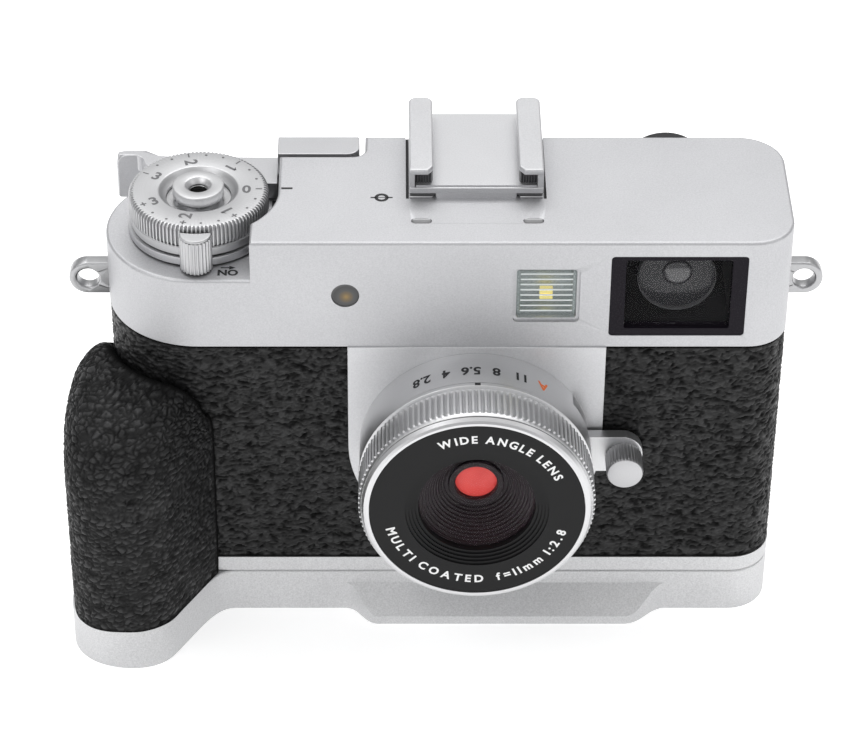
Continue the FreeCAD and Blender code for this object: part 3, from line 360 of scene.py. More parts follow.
def leather(name, sx, sz, scale, depth, base=0.012, rough=0.5, cell_pow=1.0):
    """Black grained leather: cells between creases, stretched by (sx, sz), with finer wrinkles over them."""
    m = Mat(name)
    warp_v = m.mapping(scale=(sx, 1.0, sz))
    nz = m.n("ShaderNodeTexNoise")
    nz.inputs["Scale"].default_value = scale * 0.9
    nz.inputs["Detail"].default_value = 2.0
    m.l(warp_v, nz.inputs["Vector"])
    mixv = m.n("ShaderNodeMix", data_type="VECTOR")
    mixv.inputs[0].default_value = 0.0009 * 900.0 / scale
    m.l(warp_v, mixv.inputs[4])
    m.l(nz.outputs["Color"], mixv.inputs[5])
    warped = mixv.outputs[1]
    vo = m.n("ShaderNodeTexVoronoi", feature="DISTANCE_TO_EDGE")
    vo.inputs["Scale"].default_value = scale
    vo.inputs["Randomness"].default_value = 1.0
    m.l(warped, vo.inputs["Vector"])
    cells = m.ramp(vo.outputs["Distance"], [(0.0, (0, 0, 0)), (0.10, (0.45, 0.45, 0.45)), (0.35, (1, 1, 1))], "EASE")
    vo2 = m.n("ShaderNodeTexVoronoi", feature="DISTANCE_TO_EDGE")
    vo2.inputs["Scale"].default_value = scale * 2.3
    m.l(warped, vo2.inputs["Vector"])
    cells2 = m.ramp(vo2.outputs["Distance"], [(0.0, (0, 0, 0)), (0.3, (1, 1, 1))], "EASE")
    fine = m.noise(warp_v, scale * 9.0, 3.0, 0.6)
    big = m.noise(warp_v, scale * 0.35, 2.0, 0.5)
    h = m.math("ADD", m.math("MULTIPLY", cells, 0.75), m.math("MULTIPLY", cells2, 0.22))
    h = m.math("ADD", h, m.math("MULTIPLY", fine, 0.10))
    h = m.math("ADD", h, m.math("MULTIPLY", big, 0.5))
    # Colour follows the height: creases are painted darker, as painted shade, and cell tops lighter, as a painted
    # highlight; the slow noise adds a random tone.
    dark = (base * 0.45,) * 3
    ridge_highlight = (base * 1.5, base * 1.5, base * 1.55)
    m.l(m.ramp(h, [(0.2, dark), (0.95, ridge_highlight)]), m.b.inputs["Base Color"])
    m.l(m.ramp(h, [(0.2, (rough + 0.18,) * 3), (1.0, (rough - 0.06,) * 3)]), m.b.inputs["Roughness"])
    m.set(Specular_IOR_Level=0.45)
    m.bump(h, 1.0, depth)
    return m.m


LENS = (0.0, 34.5)


def hide(name, base, rough, sheen, crease_shade=0.06, mid=0.35, dull=0.35):
    """Black hide: the grain is in the mesh, its height stored per point. Colour follows that height: creases are
    painted darker and duller, as painted shade; ridge tops are painted lighter, as a painted highlight.
    """
    m = Mat(name)
    v = m.mapping()
    at = m.n("ShaderNodeAttribute", attribute_name="grain")
    fine = m.noise(v, 5200.0, 3.0, 0.6)
    cloud = m.noise(v, 120.0, 2.0, 0.5)
    h = m.math("ADD", at.outputs["Fac"], m.math("MULTIPLY", m.math("SUBTRACT", fine, 0.5), 0.25))
    h = m.math("ADD", h, m.math("MULTIPLY", m.math("SUBTRACT", cloud, 0.5), 0.2))
    # Colour ramp on the height: the dark crease stop is painted shade, the bright top stop a painted highlight; the
    # noises add a random tone.
    m.l(m.ramp(h, [(0.0, (base * crease_shade,) * 3), (0.42, (base * mid, base * mid, base * mid * 1.03)), (0.8, (base * 1.25, base * 1.25, base * 1.3)),
                   (1.0, (base * 2.6, base * 2.6, base * 2.7))]), m.b.inputs["Base Color"])
    m.l(m.ramp(h, [(0.0, (0.85,) * 3), (0.6, (rough + 0.06,) * 3), (1.0, (rough - 0.05,) * 3)]), m.b.inputs["Roughness"])
    m.l(m.ramp(h, [(0.0, (sheen * dull * 0.3,) * 3), (0.5, (sheen * dull,) * 3), (0.95, (sheen * 1.2,) * 3)]), m.b.inputs["Specular IOR Level"])
    m.bump(fine, 0.55, 0.00004)
    return m.m


SILVER = (0.542, 0.544, 0.558)
M_silver = blasted("satin_silver", SILVER, 0.53, 0.5, 0.06, 4200.0)
M_base = blasted("base_blasted", (0.60, 0.602, 0.61), 0.46, 0.85, 0.10, 4200.0)
M_coarse = blasted("sparkle_blast", (0.68, 0.68, 0.67), 0.34, 0.9, 0.08, 4200.0)
M_plate = blasted("lens_plate_satin", (0.635, 0.637, 0.65), 0.48, 0.4, 0.05, 4600.0)
M_dial = turned("dial_turned", (0.54, 0.542, 0.55), 0.44, "Z", (-43.0, 0.0, 70.0))
M_button = turned("button_turned", (0.57, 0.572, 0.58), 0.42, "Z", (-43.0, 0.0, 70.0), 0.05, 0.06)
M_leverm = blasted("lever_satin", (0.575, 0.577, 0.59), 0.42, 0.4, 0.04, 5200.0)
M_lens = turned("barrel_turned", (0.66, 0.662, 0.67), 0.40, "Y", (0.0, 0.0, 34.5))
M_rim = turned("rim_turned", (0.63, 0.63, 0.64), 0.34, "Y", (0.0, 0.0, 34.5), 0.05, 0.05)
M_knob = turned("knob_turned", (0.53, 0.53, 0.54), 0.46, "Y", (23.3, 0.0, 34.3))
M_steel = blasted("plated_steel", (0.60, 0.602, 0.61), 0.30, 0.2, 0.03)
M_shoe = blasted("shoe_satin", (0.625, 0.627, 0.64), 0.44, 0.3, 0.05, 4600.0)
M_lug = blasted("lug_steel", (0.44, 0.442, 0.45), 0.34, 0.2, 0.03)
M_brass = blasted("turned_brass", (0.62, 0.45, 0.2), 0.3, 0.2, 0.03)
M_chassis = blasted("cast_chassis", (0.05, 0.05, 0.052), 0.55, 0.6, 0.015, 2500.0, 0.3)
M_leather = leather("rear_hide", 0.55, 1.15, 900.0, 0.00022)
M_hide = hide("body_hide", 0.0064, 0.38, 0.265, 0.12, 0.55, 0.55)
M_grip = hide("grip_hide", 0.0082, 0.44, 0.26, 0.45, 0.82, 0.88)
M_black = plastic("matt_black", (0.006, 0.006, 0.0065), 0.6, spec=0.2)
M_satinblack = plastic("satin_black", (0.010, 0.008, 0.012), 0.26, 6000.0, 0.12, 0.003, 0.10)
M_ring = plastic("anodised_black", (0.009, 0.009, 0.0095), 0.42, 8000.0, 0.10, 0.002, 0.18)
M_rubber = plastic("rubber_black", (0.02, 0.02, 0.021), 0.7, 3500.0, 0.5)
M_ink_and_shade = plastic("ink_and_painted_shade_black", (0.012, 0.012, 0.014), 0.6, 6000.0, 0.1, 0.004)
M_white = plastic("ink_white", (0.82, 0.82, 0.82), 0.55, 6000.0, 0.1, 0.03)
M_orange = plastic("ink_orange", (0.75, 0.16, 0.03), 0.55, 6000.0, 0.1, 0.03)
M_slot_highlight = plastic("slot_wall_painted_highlight", (0.80, 0.80, 0.81), 0.4, 5000.0, 0.1, 0.03)
M_stop_and_shade = blasted("blued_stops_and_undercut_shade", (0.16, 0.16, 0.165), 0.35, 0.2, 0.04)
M_bore_shade = plastic("bore_painted_shade", (0.01, 0.01, 0.01), 0.5, spec=0.2)
M_grey = plastic("engraved_grey", (0.13, 0.13, 0.135), 0.5, 6000.0, 0.1, 0.02)
M_screen = plastic("screen_panel", (0.010, 0.011, 0.014), 0.12, 900.0, 0.0, 0.003)
M_board = plastic("solder_mask", (0.02, 0.12, 0.05), 0.4, 1500.0, 0.3, 0.01)
M_card = plastic("card_plastic", (0.03, 0.05, 0.12), 0.45)
M_cell = plastic("cell_sleeve", (0.05, 0.055, 0.07), 0.4)
M_led = plastic("led_phosphor", (0.92, 0.78, 0.12), 0.35, 4000.0, 0.2, 0.06)
for nd in M_led.node_tree.nodes:
    if nd.type == "BSDF_PRINCIPLED":
        nd.inputs["Emission Color"].default_value = (1.0, 0.80, 0.16, 1.0)
        nd.inputs["Emission Strength"].default_value = 0.85
M_refl = blasted("lamp_reflector", (0.36, 0.40, 0.40), 0.40, 0.15, 0.03)
M_window = glass("finder_glass", (0.03, 0.03, 0.035), 0.01, None, 0.06)
M_objective = glass("objective_glass", (0.35, 0.4, 0.42), 0.01, (0.8, 0.9, 1.0), 0.22)
M_frost = plastic("frosted_rib", (0.72, 0.76, 0.76), 0.3, 5000.0, 0.1, 0.04)
M_diffuser = glass("lamp_diffuser", (0.50, 0.56, 0.56), 0.14, None, 0.26)
M_lampglass = glass("lamp_glass", (0.25, 0.25, 0.24), 0.06, None, 0.75)
M_findring = plastic("finder_ring_grey", (0.10, 0.10, 0.105), 0.25, 5000.0, 0.0, 0.01, 0.6)
M_findlens = plastic("finder_lens_grey", (0.034, 0.034, 0.037), 0.16, 900.0, 0.0, 0.004, 0.3)
M_pupil = plastic("finder_pupil_dark", (0.05, 0.05, 0.054), 0.10, 900.0, 0.0, 0.004, 1.0)
M_frontglass = glass("front_glass", (0.02, 0.01, 0.02), 0.01, None, 0.03)
M_screenglass = glass("screen_glass", (0.02, 0.02, 0.025), 0.03, None, 0.5)


def coral():
    m = Mat("coral_coating")
    v = m.mapping(loc=(0, 0, -34.5 * MM))
    cl = m.noise(v, 300.0, 2.0, 0.5)
    m.l(m.ramp(cl, [(0.3, (0.72, 0.075, 0.07)), (0.7, (0.84, 0.10, 0.09))]), m.b.inputs["Base Color"])
    m.l(m.math("ADD", m.math("MULTIPLY", cl, 0.05), 0.28), m.b.inputs["Roughness"])
    m.set(Specular_IOR_Level=0.3)
    # The emission is a painted glow: the red element is lit from within, though it is no lamp.
    m.b.inputs["Emission Color"].default_value = (0.85, 0.07, 0.06, 1)
    m.b.inputs["Emission Strength"].default_value = 0.22
    return m.m


M_coral = coral()


def amber_lens():
    """Small dark window whose warm element shows through, off centre."""
    m = Mat("lamp_amber")
    v = m.mapping(loc=(20.1 * MM, 0.0, -63.15 * MM))
    sep = m.n("ShaderNodeSeparateXYZ")
    m.l(v, sep.inputs[0])
    r2 = m.math("ADD", m.math("MULTIPLY", sep.outputs[0], sep.outputs[0]), m.math("MULTIPLY", sep.outputs[2], sep.outputs[2]))
    r = m.math("MULTIPLY", m.math("SQRT", r2), 1000.0 / 2.4)
    m.l(m.ramp(r, [(0.0, (0.30, 0.20, 0.07)), (0.28, (0.16, 0.12, 0.07)), (0.5, (0.085, 0.085, 0.085)), (0.8, (0.06, 0.06, 0.062)),
                   (1.0, (0.13, 0.13, 0.13))]), m.b.inputs["Base Color"])
    cl = m.noise(v, 800.0, 2.0, 0.5)
    m.l(m.math("ADD", m.math("MULTIPLY", cl, 0.05), 0.16), m.b.inputs["Roughness"])
    m.set(Specular_IOR_Level=0.35)
    return m.m


M_amber = amber_lens()


def ribbed_black():
    """Inside of the lens hood cone: dark plum black, slightly glossy."""
    m = Mat("baffle_black")
    v = m.mapping(loc=(0, 0, -34.5 * MM))
    fine = m.noise(v, 1500.0, 2.0, 0.5)
    m.l(m.ramp(fine, [(0.3, (0.013, 0.0075, 0.010)), (0.7, (0.018, 0.010, 0.013))]), m.b.inputs["Base Color"])
    m.l(m.math("ADD", m.math("MULTIPLY", fine, 0.06), 0.36), m.b.inputs["Roughness"])
    m.set(Specular_IOR_Level=0.3)
    return m.m


M_baffle = ribbed_black()


def give(obj, mat, body=None):
    obj.data.materials.clear()
    obj.data.materials.append(mat)
    if body:
        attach(obj, body)
    return obj


def cad(node, mat, bev=0.0, seg=2):
    o = NODES[node]
    for s in range(max(1, len(o.material_slots))):
        if not o.material_slots:
            o.data.materials.append(mat)
        o.material_slots[s].material = mat
    if bev:
        bevel(o, bev, seg, 35.0, weld=True)
    return o


# ---------------------------------------------------------------- CAD nodes that stay
cad("top_cover", M_silver, 0.12)
cad("rear_cover", M_silver, 0.12)
cad("bottom_cover", M_base, 0.10)
cad("base_plate", M_base, 0.2, 3)
cad("lens_plate", M_plate, 0.12)
cad("body_shell", M_chassis)
cad("rear_leather", M_leather, 0.08)
cad("grip_core", M_black)
cad("base_mount_screw", M_steel, 0.15)
cad("camera_socket", M_brass, 0.1)
cad("grip_screws", M_steel, 0.08)
cad("rear_screws", M_steel, 0.06)
cad("door_pin", M_steel, 0.05)
cad("battery_chamber", M_black, 0.1)
cad("battery", M_cell, 0.2)
cad("memory_card", M_card, 0.1)
cad("main_board", M_board, 0.05)
cad("image_sensor", M_screen, 0.05)
cad("lcd_panel", M_screen, 0.05)
cad("lcd_glass", M_screenglass, 0.05)
cad("viewfinder_bezel", M_satinblack, 0.12)
cad("viewfinder_window", M_window)
cad("viewfinder_box", M_black)
cad("eyepiece_housing", M_satinblack, 0.1)
cad("eyepiece_lens", M_objective)
cad("eyecup", M_rubber, 0.35, 3)
cad("led_reflector", M_refl, 0.05)
cad("lamp_window", M_amber, 0.12, 3)
cad("lamp_led", M_led, 0.08)
cad("shoe_screws", M_steel, 0.06)
cad("shoe_spring", M_shoe)
cad("dial_post", M_steel)
cad("shutter_spring", M_steel)
cad("strap_lug_left", M_lug, 0.3, 3)
cad("strap_lug_right", M_lug, 0.3, 3)
cad("lens_barrel", M_lens)
cad("focus_ring", M_lens, 0.2)
cad("front_bezel", M_rim)
cad("name_ring", M_ring)
cad("front_glass", M_frontglass)
cad("front_element", M_coral)
cad("iris", M_baffle)
cad("rear_lens_group", M_black)
cad("battery_door", M_base, 0.12)
cad("playback_button", M_satinblack, 0.25, 3)
cad("menu_button", M_satinblack, 0.25, 3)

# ---------------------------------------------------------------- hide covering
def grain(obj, cell, cellz, depth, seed, wave, edge, ripple):
    """Presses a leather grain into the mesh: rounded cells between creases, over slow waves. The height also goes into
    the 'grain' attribute, which the hide material colours as painted shade in the creases; where the edge weight is
    zero or below, that colour is the darkest, a painted shade along the leather's borders.
    """
    me = obj.data
    n = len(me.vertices)
    att = me.attributes.new("grain", "FLOAT", "POINT")
    vals = [0.0] * n
    co = [0.0] * (3 * n)
    nor = [0.0] * (3 * n)
    me.vertices.foreach_get("co", co)
    me.vertices.foreach_get("normal", nor)
    for i in range(n):
        x, y, z = co[3 * i] / MM, co[3 * i + 1] / MM, co[3 * i + 2] / MM
        w = noise.noise_vector(Vector((x * 0.55 + seed, y * 0.55, z * 0.9)))
        w2 = noise.noise_vector(Vector((x * 1.7 + seed, y * 1.7, z * 2.2)))
        q = Vector(((x + w.x * 0.9 + w2.x * 0.22) / cell, (y + w.y * 0.9 + w2.y * 0.22) / cell,
                    (z + w.z * wave + w2.z * 0.2) / cellz + seed))
        d = noise.voronoi(q)[0]
        e = min(1.0, (d[1] - d[0]) / 0.42)
        e = e * e * (3 - 2 * e)
        if ripple:
            t = Vector(((x + w.x * 1.0) / 1.2, (y + w.y * 1.0) / 1.2, (z + w.z * 0.7 + w2.z * 0.25) / 0.46 + seed))
            m = 0.7 * noise.noise(t) + 0.3 * noise.noise(t * 2.3)
            m = max(0.0, min(1.0, (m + 0.36) / 0.46))
            e = e * (1 - ripple) + ripple * m * m * (3 - 2 * m)
        lo = noise.noise(Vector((x * 0.35, y * 0.35, z * 0.8 + seed)))
        k = edge[i]
        # k scales the colour value down to zero towards the borders: painted shade.
        g = (0.25 + 0.75 * e + 0.25 * lo) * k
        vals[i] = max(0.0, min(1.0, g)) if k > -0.5 else 0.0
        h = (depth * (e - 1.0) + 0.05 * lo - 0.03) * max(k, 0.0) * MM
        co[3 * i] += nor[3 * i] * h
        co[3 * i + 1] += nor[3 * i + 1] * h
        co[3 * i + 2] += nor[3 * i + 2] * h
    att.data.foreach_set("value", vals)
    me.vertices.foreach_set("co", co)
    me.update()
    me.shade_smooth()


def sheet_obj(name, rows, keep=None):
    """Grid surface from rows of points, in millimetres, with every face that keep() refuses left out."""
    nr, nc = len(rows), len(rows[0])
    verts = [p for r in rows for p in r]
    faces = []
    for i in range(nr - 1):
        for j in range(nc - 1):
            a, b, c, d = i * nc + j, i * nc + j + 1, (i + 1) * nc + j + 1, (i + 1) * nc + j
            if keep is None or keep(verts[a], verts[c]):
                faces.append((a, b, c, d))
    me = bpy.data.meshes.new(name)
    me.from_pydata([(p[0] * MM, p[1] * MM, p[2] * MM) for p in verts], [], faces)
    me.update()
    return link(bpy.data.objects.new(name, me))


X0, X1, HD, RF, RB = -43.0, 48.3, 14.58, 6.48, 6.98
path = []
xs = X0 - math.sqrt(HD * HD - 9.2 * 9.2)
a0 = math.atan2(9.2, xs - X0)
n = 118
for i in range(n):
    a = a0 + (1.5 * PI - a0) * i / n
    path.append((X0 + HD * math.cos(a), HD * math.sin(a)))
n = 424
xe = X1 - RF
for i in range(n):
    path.append((X0 + (xe - X0) * i / n, -HD))
for i in range(50):
    a = -PI / 2 + PI / 2 * i / 50
    path.append((xe + RF * math.cos(a), -HD + RF + RF * math.sin(a)))
yb = 14.6 - 7.0
for i in range(70):
    path.append((X1 - 0.02, -HD + RF + (yb + HD - RF) * i / 70))
a1 = math.asin((9.2 - yb) / RB)
for i in range(9):
    a = a1 * i / 8
    path.append((X1 - 7.0 + RB * math.cos(a), yb + RB * math.sin(a)))
# outward step of each path point
outw = []
for i, (x, y) in enumerate(path):
    xa, ya = path[max(i - 1, 0)]
    xb, yb2 = path[min(i + 1, len(path) - 1)]
    tx, ty = xb - xa, yb2 - ya
    k = math.hypot(tx, ty)
    outw.append((ty / k, -tx / k))
rows, edge = [], []
zl = [11.0, 11.0 + 0.10, 11.25]
z = 11.45
while z < 53.4:
    zl.append(z)
    z += 0.2
zl += [53.55, 53.7, 53.8]
# edge weights the grain and its colour: it falls to zero at the top and bottom, where the leather meets the covers, so
# the colour there is the darkest, a painted shade.
for z in zl:
    dz = min(z - 11.0, 53.8 - z)
    inset = 0.35 * (1 - min(1.0, dz / 0.3)) ** 2
    row = []
    for (x, y), (ox, oy) in zip(path, outw):
        row.append((x - ox * inset, y - oy * inset, z))
        edge.append(min(1.0, max(0.0, (dz - 0.1) / 0.5)))
    rows.append(row)


def outside_plate(p, q):
    x, y, z = (p[0] + q[0]) / 2, (p[1] + q[1]) / 2, (p[2] + q[2]) / 2
    if y > -14.0 or abs(x) > 19.6:
        return True
    return z < 34.5 and math.hypot(x, z - 34.5) > 19.6


wrap = sheet_obj("leather_wrap", rows, outside_plate)
probe = [pl for pl in wrap.data.polygons if abs(pl.center.x) < 0.03 and pl.center.z < 0.013]
if probe and probe[0].normal.y > 0:
    wrap.data.flip_normals()
grain(wrap, 1.35, 0.62, 0.34, 3.7, 0.6, edge, 0.62)
give(wrap, M_hide, "camera")
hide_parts("front_leather")

OUT = [(-58.6, 2.6), (-61.3, 0.1), (-63.6, -4.4), (-64.5, -11.0), (-64.6, -18.0), (-63.9, -24.4), (-62.2, -27.4), (-59.6, -29.0),
       (-56.2, -29.5), (-52.3, -29.2), (-48.6, -27.1), (-46.1, -23.3), (-43.3, -18.6), (-41.3, -15.25)]
CROWN = [(173.7, 42.2, 38.0), (186.4, 44.6, 38.0), (194.9, 45.4, 38.0), (205.0, 45.9, 37.5), (215.6, 46.2, 36.5),
         (223.9, 46.35, 34.5), (231.9, 46.4, 33.0), (239.8, 46.4, 32.0), (246.8, 46.35, 31.0), (253.4, 46.2, 31.0),
         (259.0, 45.7, 31.0), (264.0, 44.8, 32.0), (268.8, 43.2, 34.0), (272.5, 40.5, 35.0)]


def spline(pts, s):
    m = len(pts) - 1
    i = min(int(s), m - 1)
    f = s - i
    p = [pts[max(0, min(m, j))] for j in (i - 1, i, i + 1, i + 2)]
    return tuple(0.5 * (2 * p[1][k] + (-p[0][k] + p[2][k]) * f + (2 * p[0][k] - 5 * p[1][k] + 4 * p[2][k] - p[3][k]) * f * f +
                        (-p[0][k] + 3 * p[1][k] - 3 * p[2][k] + p[3][k]) * f ** 3) for k in range(len(pts[0])))


def casing(x, y, d):
    """The casing's surface nearest to a point beside it, d outside."""
    if x >= X0:
        return (x, -(14.6 + d))
    k = math.hypot(x - X0, y)
    return (X0 + (x - X0) / k * (14.6 + d), y / k * (14.6 + d))


cols, ecols = [], []
NS = 300
for i in range(NS + 1):
    s = 13.0 * i / NS
    ox, oy = spline(OUT, s)
    ang, zt, zs = spline(CROWN, s)
    ex, ey = X0 + 15.35 * math.cos(math.radians(ang)), 15.35 * math.sin(math.radians(ang))
    col, ec = [], []
    NV = 110
    for j in range(NV):
        z = 8.02 + (zs - 8.02) * j / NV
        tap = 1.0 if z > 12.0 else 1.0 - 0.012 * (12.0 - z) / 4.0
        col.append((-53.0 + (ox + 53.0) * tap, oy, z))
    NT = 110
    for j in range(NT + 1):
        a = PI / 2 * j / NT
        f, h = math.cos(a) ** (2 / 2.6) if j < NT else 0.0, math.sin(a) ** (2 / 2.6)
        col.append((ex + (ox - ex) * f, ey + (oy - ey) * f, zs + (zt - zs) * h))
    gx, gy = casing(ex, ey, -0.25)
    col.append(((ex * 2 + gx) / 3, (ey * 2 + gy) / 3, zt - 0.25))
    col.append((gx, gy, zt - 0.9))
    # k weights the grain and its colour: it falls to zero at the bottom, near the ends and towards the inner edge, and
    # is -1 on the groove into the casing, where the colour is the darkest, a painted shade.
    near_end = min(i, NS - i) * 0.2
    for j, p in enumerate(col):
        k = min(1.0, max(0.0, (p[2] - 8.02) / 0.6), max(0.0, (near_end - 0.15) / 0.7))
        if j > NV:
            k = min(k, max(0.0, (math.hypot(p[0] - ex, p[1] - ey) - 0.25) / 0.8))
        if j > NV + NT:
            k = -1.0
        ec.append(k)
    cols.append(col)
    ecols.append(ec)
# the two ends run back into the casing; their colour is the darkest, a painted shade
for at_end in (True, False):
    src = cols[-1] if at_end else cols[0]
    for d, kk in ((0.35, 0.0), (-0.25, -1.0)):
        col = []
        for x, y, z in src:
            gx, gy = casing(x, y, d if abs(d) < math.hypot(x - X0, y) - 14.6 or d < 0 else 0.0)
            col.append((gx + (0.12 if at_end else 0.0), gy, z))
        if at_end:
            cols.append(col)
            ecols.append([kk] * len(col))
        else:
            cols.insert(0, col)
            ecols.insert(0, [kk] * len(col))
skin = sheet_obj("grip_hide", cols)
probe = max(skin.data.polygons, key=lambda pl: -pl.center.y)
if probe.normal.y > 0:
    skin.data.flip_normals()
for v in skin.data.vertices:
    v.co.x = max(v.co.x, -64.56 * MM)
grain(skin, 1.4, 0.82, 0.32, 9.1, 0.4, [k for ec in ecols for k in ec], 0.15)
for v in skin.data.vertices:
    v.co.x = max(v.co.x, -64.57 * MM)
give(skin, M_grip, "camera")
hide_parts("grip_leather")

# ---------------------------------------------------------------- accessory shoe
SX0, SX1, SI0, SI1, SF, SB = -10.45, 10.2, -9.63, 9.27, -2.6, 18.0
shoe_bits = [
    prism("shoe_top_plate", [(SX0 + 0.02, SF), (SX1 - 0.02, SF), (SX1 - 0.02, SB - 0.3), (SX0 + 0.02, SB - 0.3)], 74.15, 75.2, bev=0.18, seg=3),
    prism("shoe_foot", [(SX0 + 0.35, SF + 1.6), (-6.5, SF + 1.6), (-6.2, SF + 0.03), (5.95, SF + 0.03), (6.25, SF + 1.6), (SX1 - 0.35, SF + 1.6),
                        (SX1 - 0.35, SB - 0.4), (SX0 + 0.35, SB - 0.4)], 73.3, 74.6)]


def rounded(pts, radii):
    """Plan polygon with its corners rounded; radii has one value per corner."""
    out = []
    m = len(pts)
    for i, (p, r) in enumerate(zip(pts, radii)):
        if r <= 0:
            out.append(p)
            continue
        p = Vector(p)
        a = (Vector(pts[i - 1]) - p)
        b = (Vector(pts[(i + 1) % m]) - p)
        half = a.angle(b) / 2
        t = r / math.tan(half)
        pa, pb = p + a.normalized() * t, p + b.normalized() * t
        c = p + (a.normalized() + b.normalized()).normalized() * (r / math.sin(half))
        a1 = math.atan2(pa.y - c.y, pa.x - c.x)
        a2 = math.atan2(pb.y - c.y, pb.x - c.x)
        while a2 - a1 > PI:
            a2 -= 2 * PI
        while a2 - a1 < -PI:
            a2 += 2 * PI
        for q in range(7):
            a = a1 + (a2 - a1) * q / 6
            out.append((c.x + r * math.cos(a), c.y + r * math.sin(a)))
    return out


shoe_bits += [
    prism("wall_l", [(SX0, SF + 0.3), (SI0, SF + 0.3), (SI0, SB - 0.5), (SX0, SB - 0.5)], 74.6, 78.0),
    prism("wall_r", [(SI1, SF + 0.3), (SX1, SF + 0.3), (SX1, SB - 0.5), (SI1, SB - 0.5)], 74.6, 78.0),
    prism("lip_l", rounded([(SX0, SF), (-7.6, SF), (-6.75, SF + 1.2), (-6.75, SB), (SX0, SB)], [0.3, 0.3, 0.8, 1.3, 1.3]), 77.5, 78.55,
          bev=0.42, seg=4),
    prism("lip_r", rounded([(7.25, SF), (SX1, SF), (SX1, SB), (6.4, SB), (6.4, SF + 1.2)], [0.3, 0.3, 1.3, 1.3, 0.8]), 77.5, 78.55,
          bev=0.42, seg=4)]
shoe = join("folded_shoe", shoe_bits)
give(shoe, M_shoe, "camera")
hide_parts("accessory_shoe")
tabs = []
for sx0, sx1 in ((SX0 + 0.05, -6.9), (6.65, SX1 - 0.05)):
    tabs.append(prism("tab", [(sx0, SF + 0.02), (sx1, SF + 0.02), (sx1 + (0.5 if sx0 < 0 else 0.0), SF + 1.4), (sx0 - (0.0 if sx0 < 0 else 0.5), SF + 1.4)],
                      73.36, 73.62, bev=0.08))
tabs = join("shoe_tabs", tabs)
give(tabs, M_rim, "camera")
# The two dark blocks behind the spring tabs fill the undercut at the shoe's front corners: painted shade. The ribs are
# the shoe's own dark stops.
dark = [prism("undercut_shade_l", [(SX0 + 0.1, SF + 0.55), (-6.35, SF + 0.55), (-6.35, SF + 1.58), (SX0 + 0.1, SF + 1.58)], 73.62, 74.14),
        prism("undercut_shade_r", [(6.1, SF + 0.55), (SX1 - 0.1, SF + 0.55), (SX1 - 0.1, SF + 1.58), (6.1, SF + 1.58)], 73.62, 74.14)]
for side, xa, xb in ((1, SI0 + 0.05, -7.1), (-1, SI1 - 0.05, 6.75)):
    pts, back = [], []
    cnt = 13
    for i in range(cnt):
        x = xa + (xb - xa) * i / (cnt - 1)
        pts.append((x, -1.5 + (0.16 if i % 2 else -0.02)))
    pts += [(xb + side * 0.22, -1.2), (xb + side * 0.3, -0.6), (xb + side * 0.3, 0.6), (xb, 0.6), (xb - side * 0.1, -0.9), (xa, -1.0)]
    dark.append(prism("rib", pts, 75.46, 77.5))
mic_bits, mic_wall_highlights = [], []
for xa, xb in ((-10.2, -7.0), (6.9, 10.1)):
    pts = [(xa + 0.66 * math.cos(a), -8.66 + 0.66 * math.sin(a)) for a in [PI / 2 + PI * i / 10 for i in range(11)]]
    pts += [(xb + 0.66 * math.cos(a), -8.66 + 0.66 * math.sin(a)) for a in [-PI / 2 + PI * i / 10 for i in range(11)]]
    mic_bits.append(prism("mic", pts, 72.2, 72.36, bev=0.04))
    for q in range(9):
        mic_bits.append(prism("mic_rib", [(xa + 0.1 + q * 0.4, -9.1), (xa + 0.2 + q * 0.4, -9.1), (xa + 0.2 + q * 0.4, -8.2), (xa + 0.1 + q * 0.4, -8.2)],
                              72.3, 72.45, bev=0.02))
    # Pale strips on the far walls of the slots: a painted highlight standing in for the lit silver wall.
    mic_wall_highlights.append(prism("mic_wall_highlight", [(xa - 0.3, -8.16), (xb + 0.3, -8.16), (xb + 0.2, -8.0), (xa - 0.2, -8.0)], 72.42, 73.26, bev=0.05))
mic_highlights = join("mic_wall_highlights", mic_wall_highlights)
give(mic_highlights, M_slot_highlight, "camera")
mics = join("mic_mesh", mic_bits)
give(mics, M_black, "camera")
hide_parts("microphones")
dark = join("shoe_stops_and_undercut_shade", dark)
give(dark, M_stop_and_shade, "camera")

# ---------------------------------------------------------------- exposure dial
DC = (-43.0, 0.0)
dial = lathe("dial_knurled", "Z", DC, [
    (5.06, 69.7), (10.3, 69.7), (10.7, 69.8, 1), (10.85, 69.95, 1), (10.85, 72.6, 1), (10.76, 72.85, 1),
    (10.56, 73.1, 1), (10.4, 73.22, 0.9), (10.22, 73.28, 0.3), (10.08, 73.3), (6.35, 73.3), (6.2, 73.27), (6.05, 73.15), (5.8, 72.75),
    (5.45, 72.35), (5.06, 72.1)],
    knurl=(104, 0.5, [0, 0, 0, 0.85, 1.0, 0.85]))
give(dial, M_dial, "exposure_dial")
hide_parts("exposure_dial")


def dial_map(v, data):
    a, r0, dx = data
    right = (-math.cos(a), -math.sin(a))
    up = (math.sin(a), -math.cos(a))
    return (DC[0] + r0 * math.cos(a) + right[0] * v.x + up[0] * v.y,
            DC[1] + r0 * math.sin(a) + right[1] * v.x + up[1] * v.y, 73.315 + dx)


items = []
for lab, deg in (("0", 0), ("1", -51), ("2", -102), ("3", -153), ("1", 51), ("2", 102), ("3", 153)):
    vs, fs = text_mesh(lab, 2.75, bold=0.03)
    items.append((vs, fs, (math.radians(deg), 7.45, 0.0)))
    if lab == "1":
        top = max(v.y for v in vs)
        flag = [Vector((-0.62, top - 0.62, 0)), Vector((-0.52, top - 0.38, 0)), Vector((-0.05, top, 0)), Vector((-0.05, top - 0.34, 0))]
        items.append((flag, [[0, 1, 2, 3]], (math.radians(deg), 7.45, 0.0)))
vv, ff = map_text(items, dial_map)


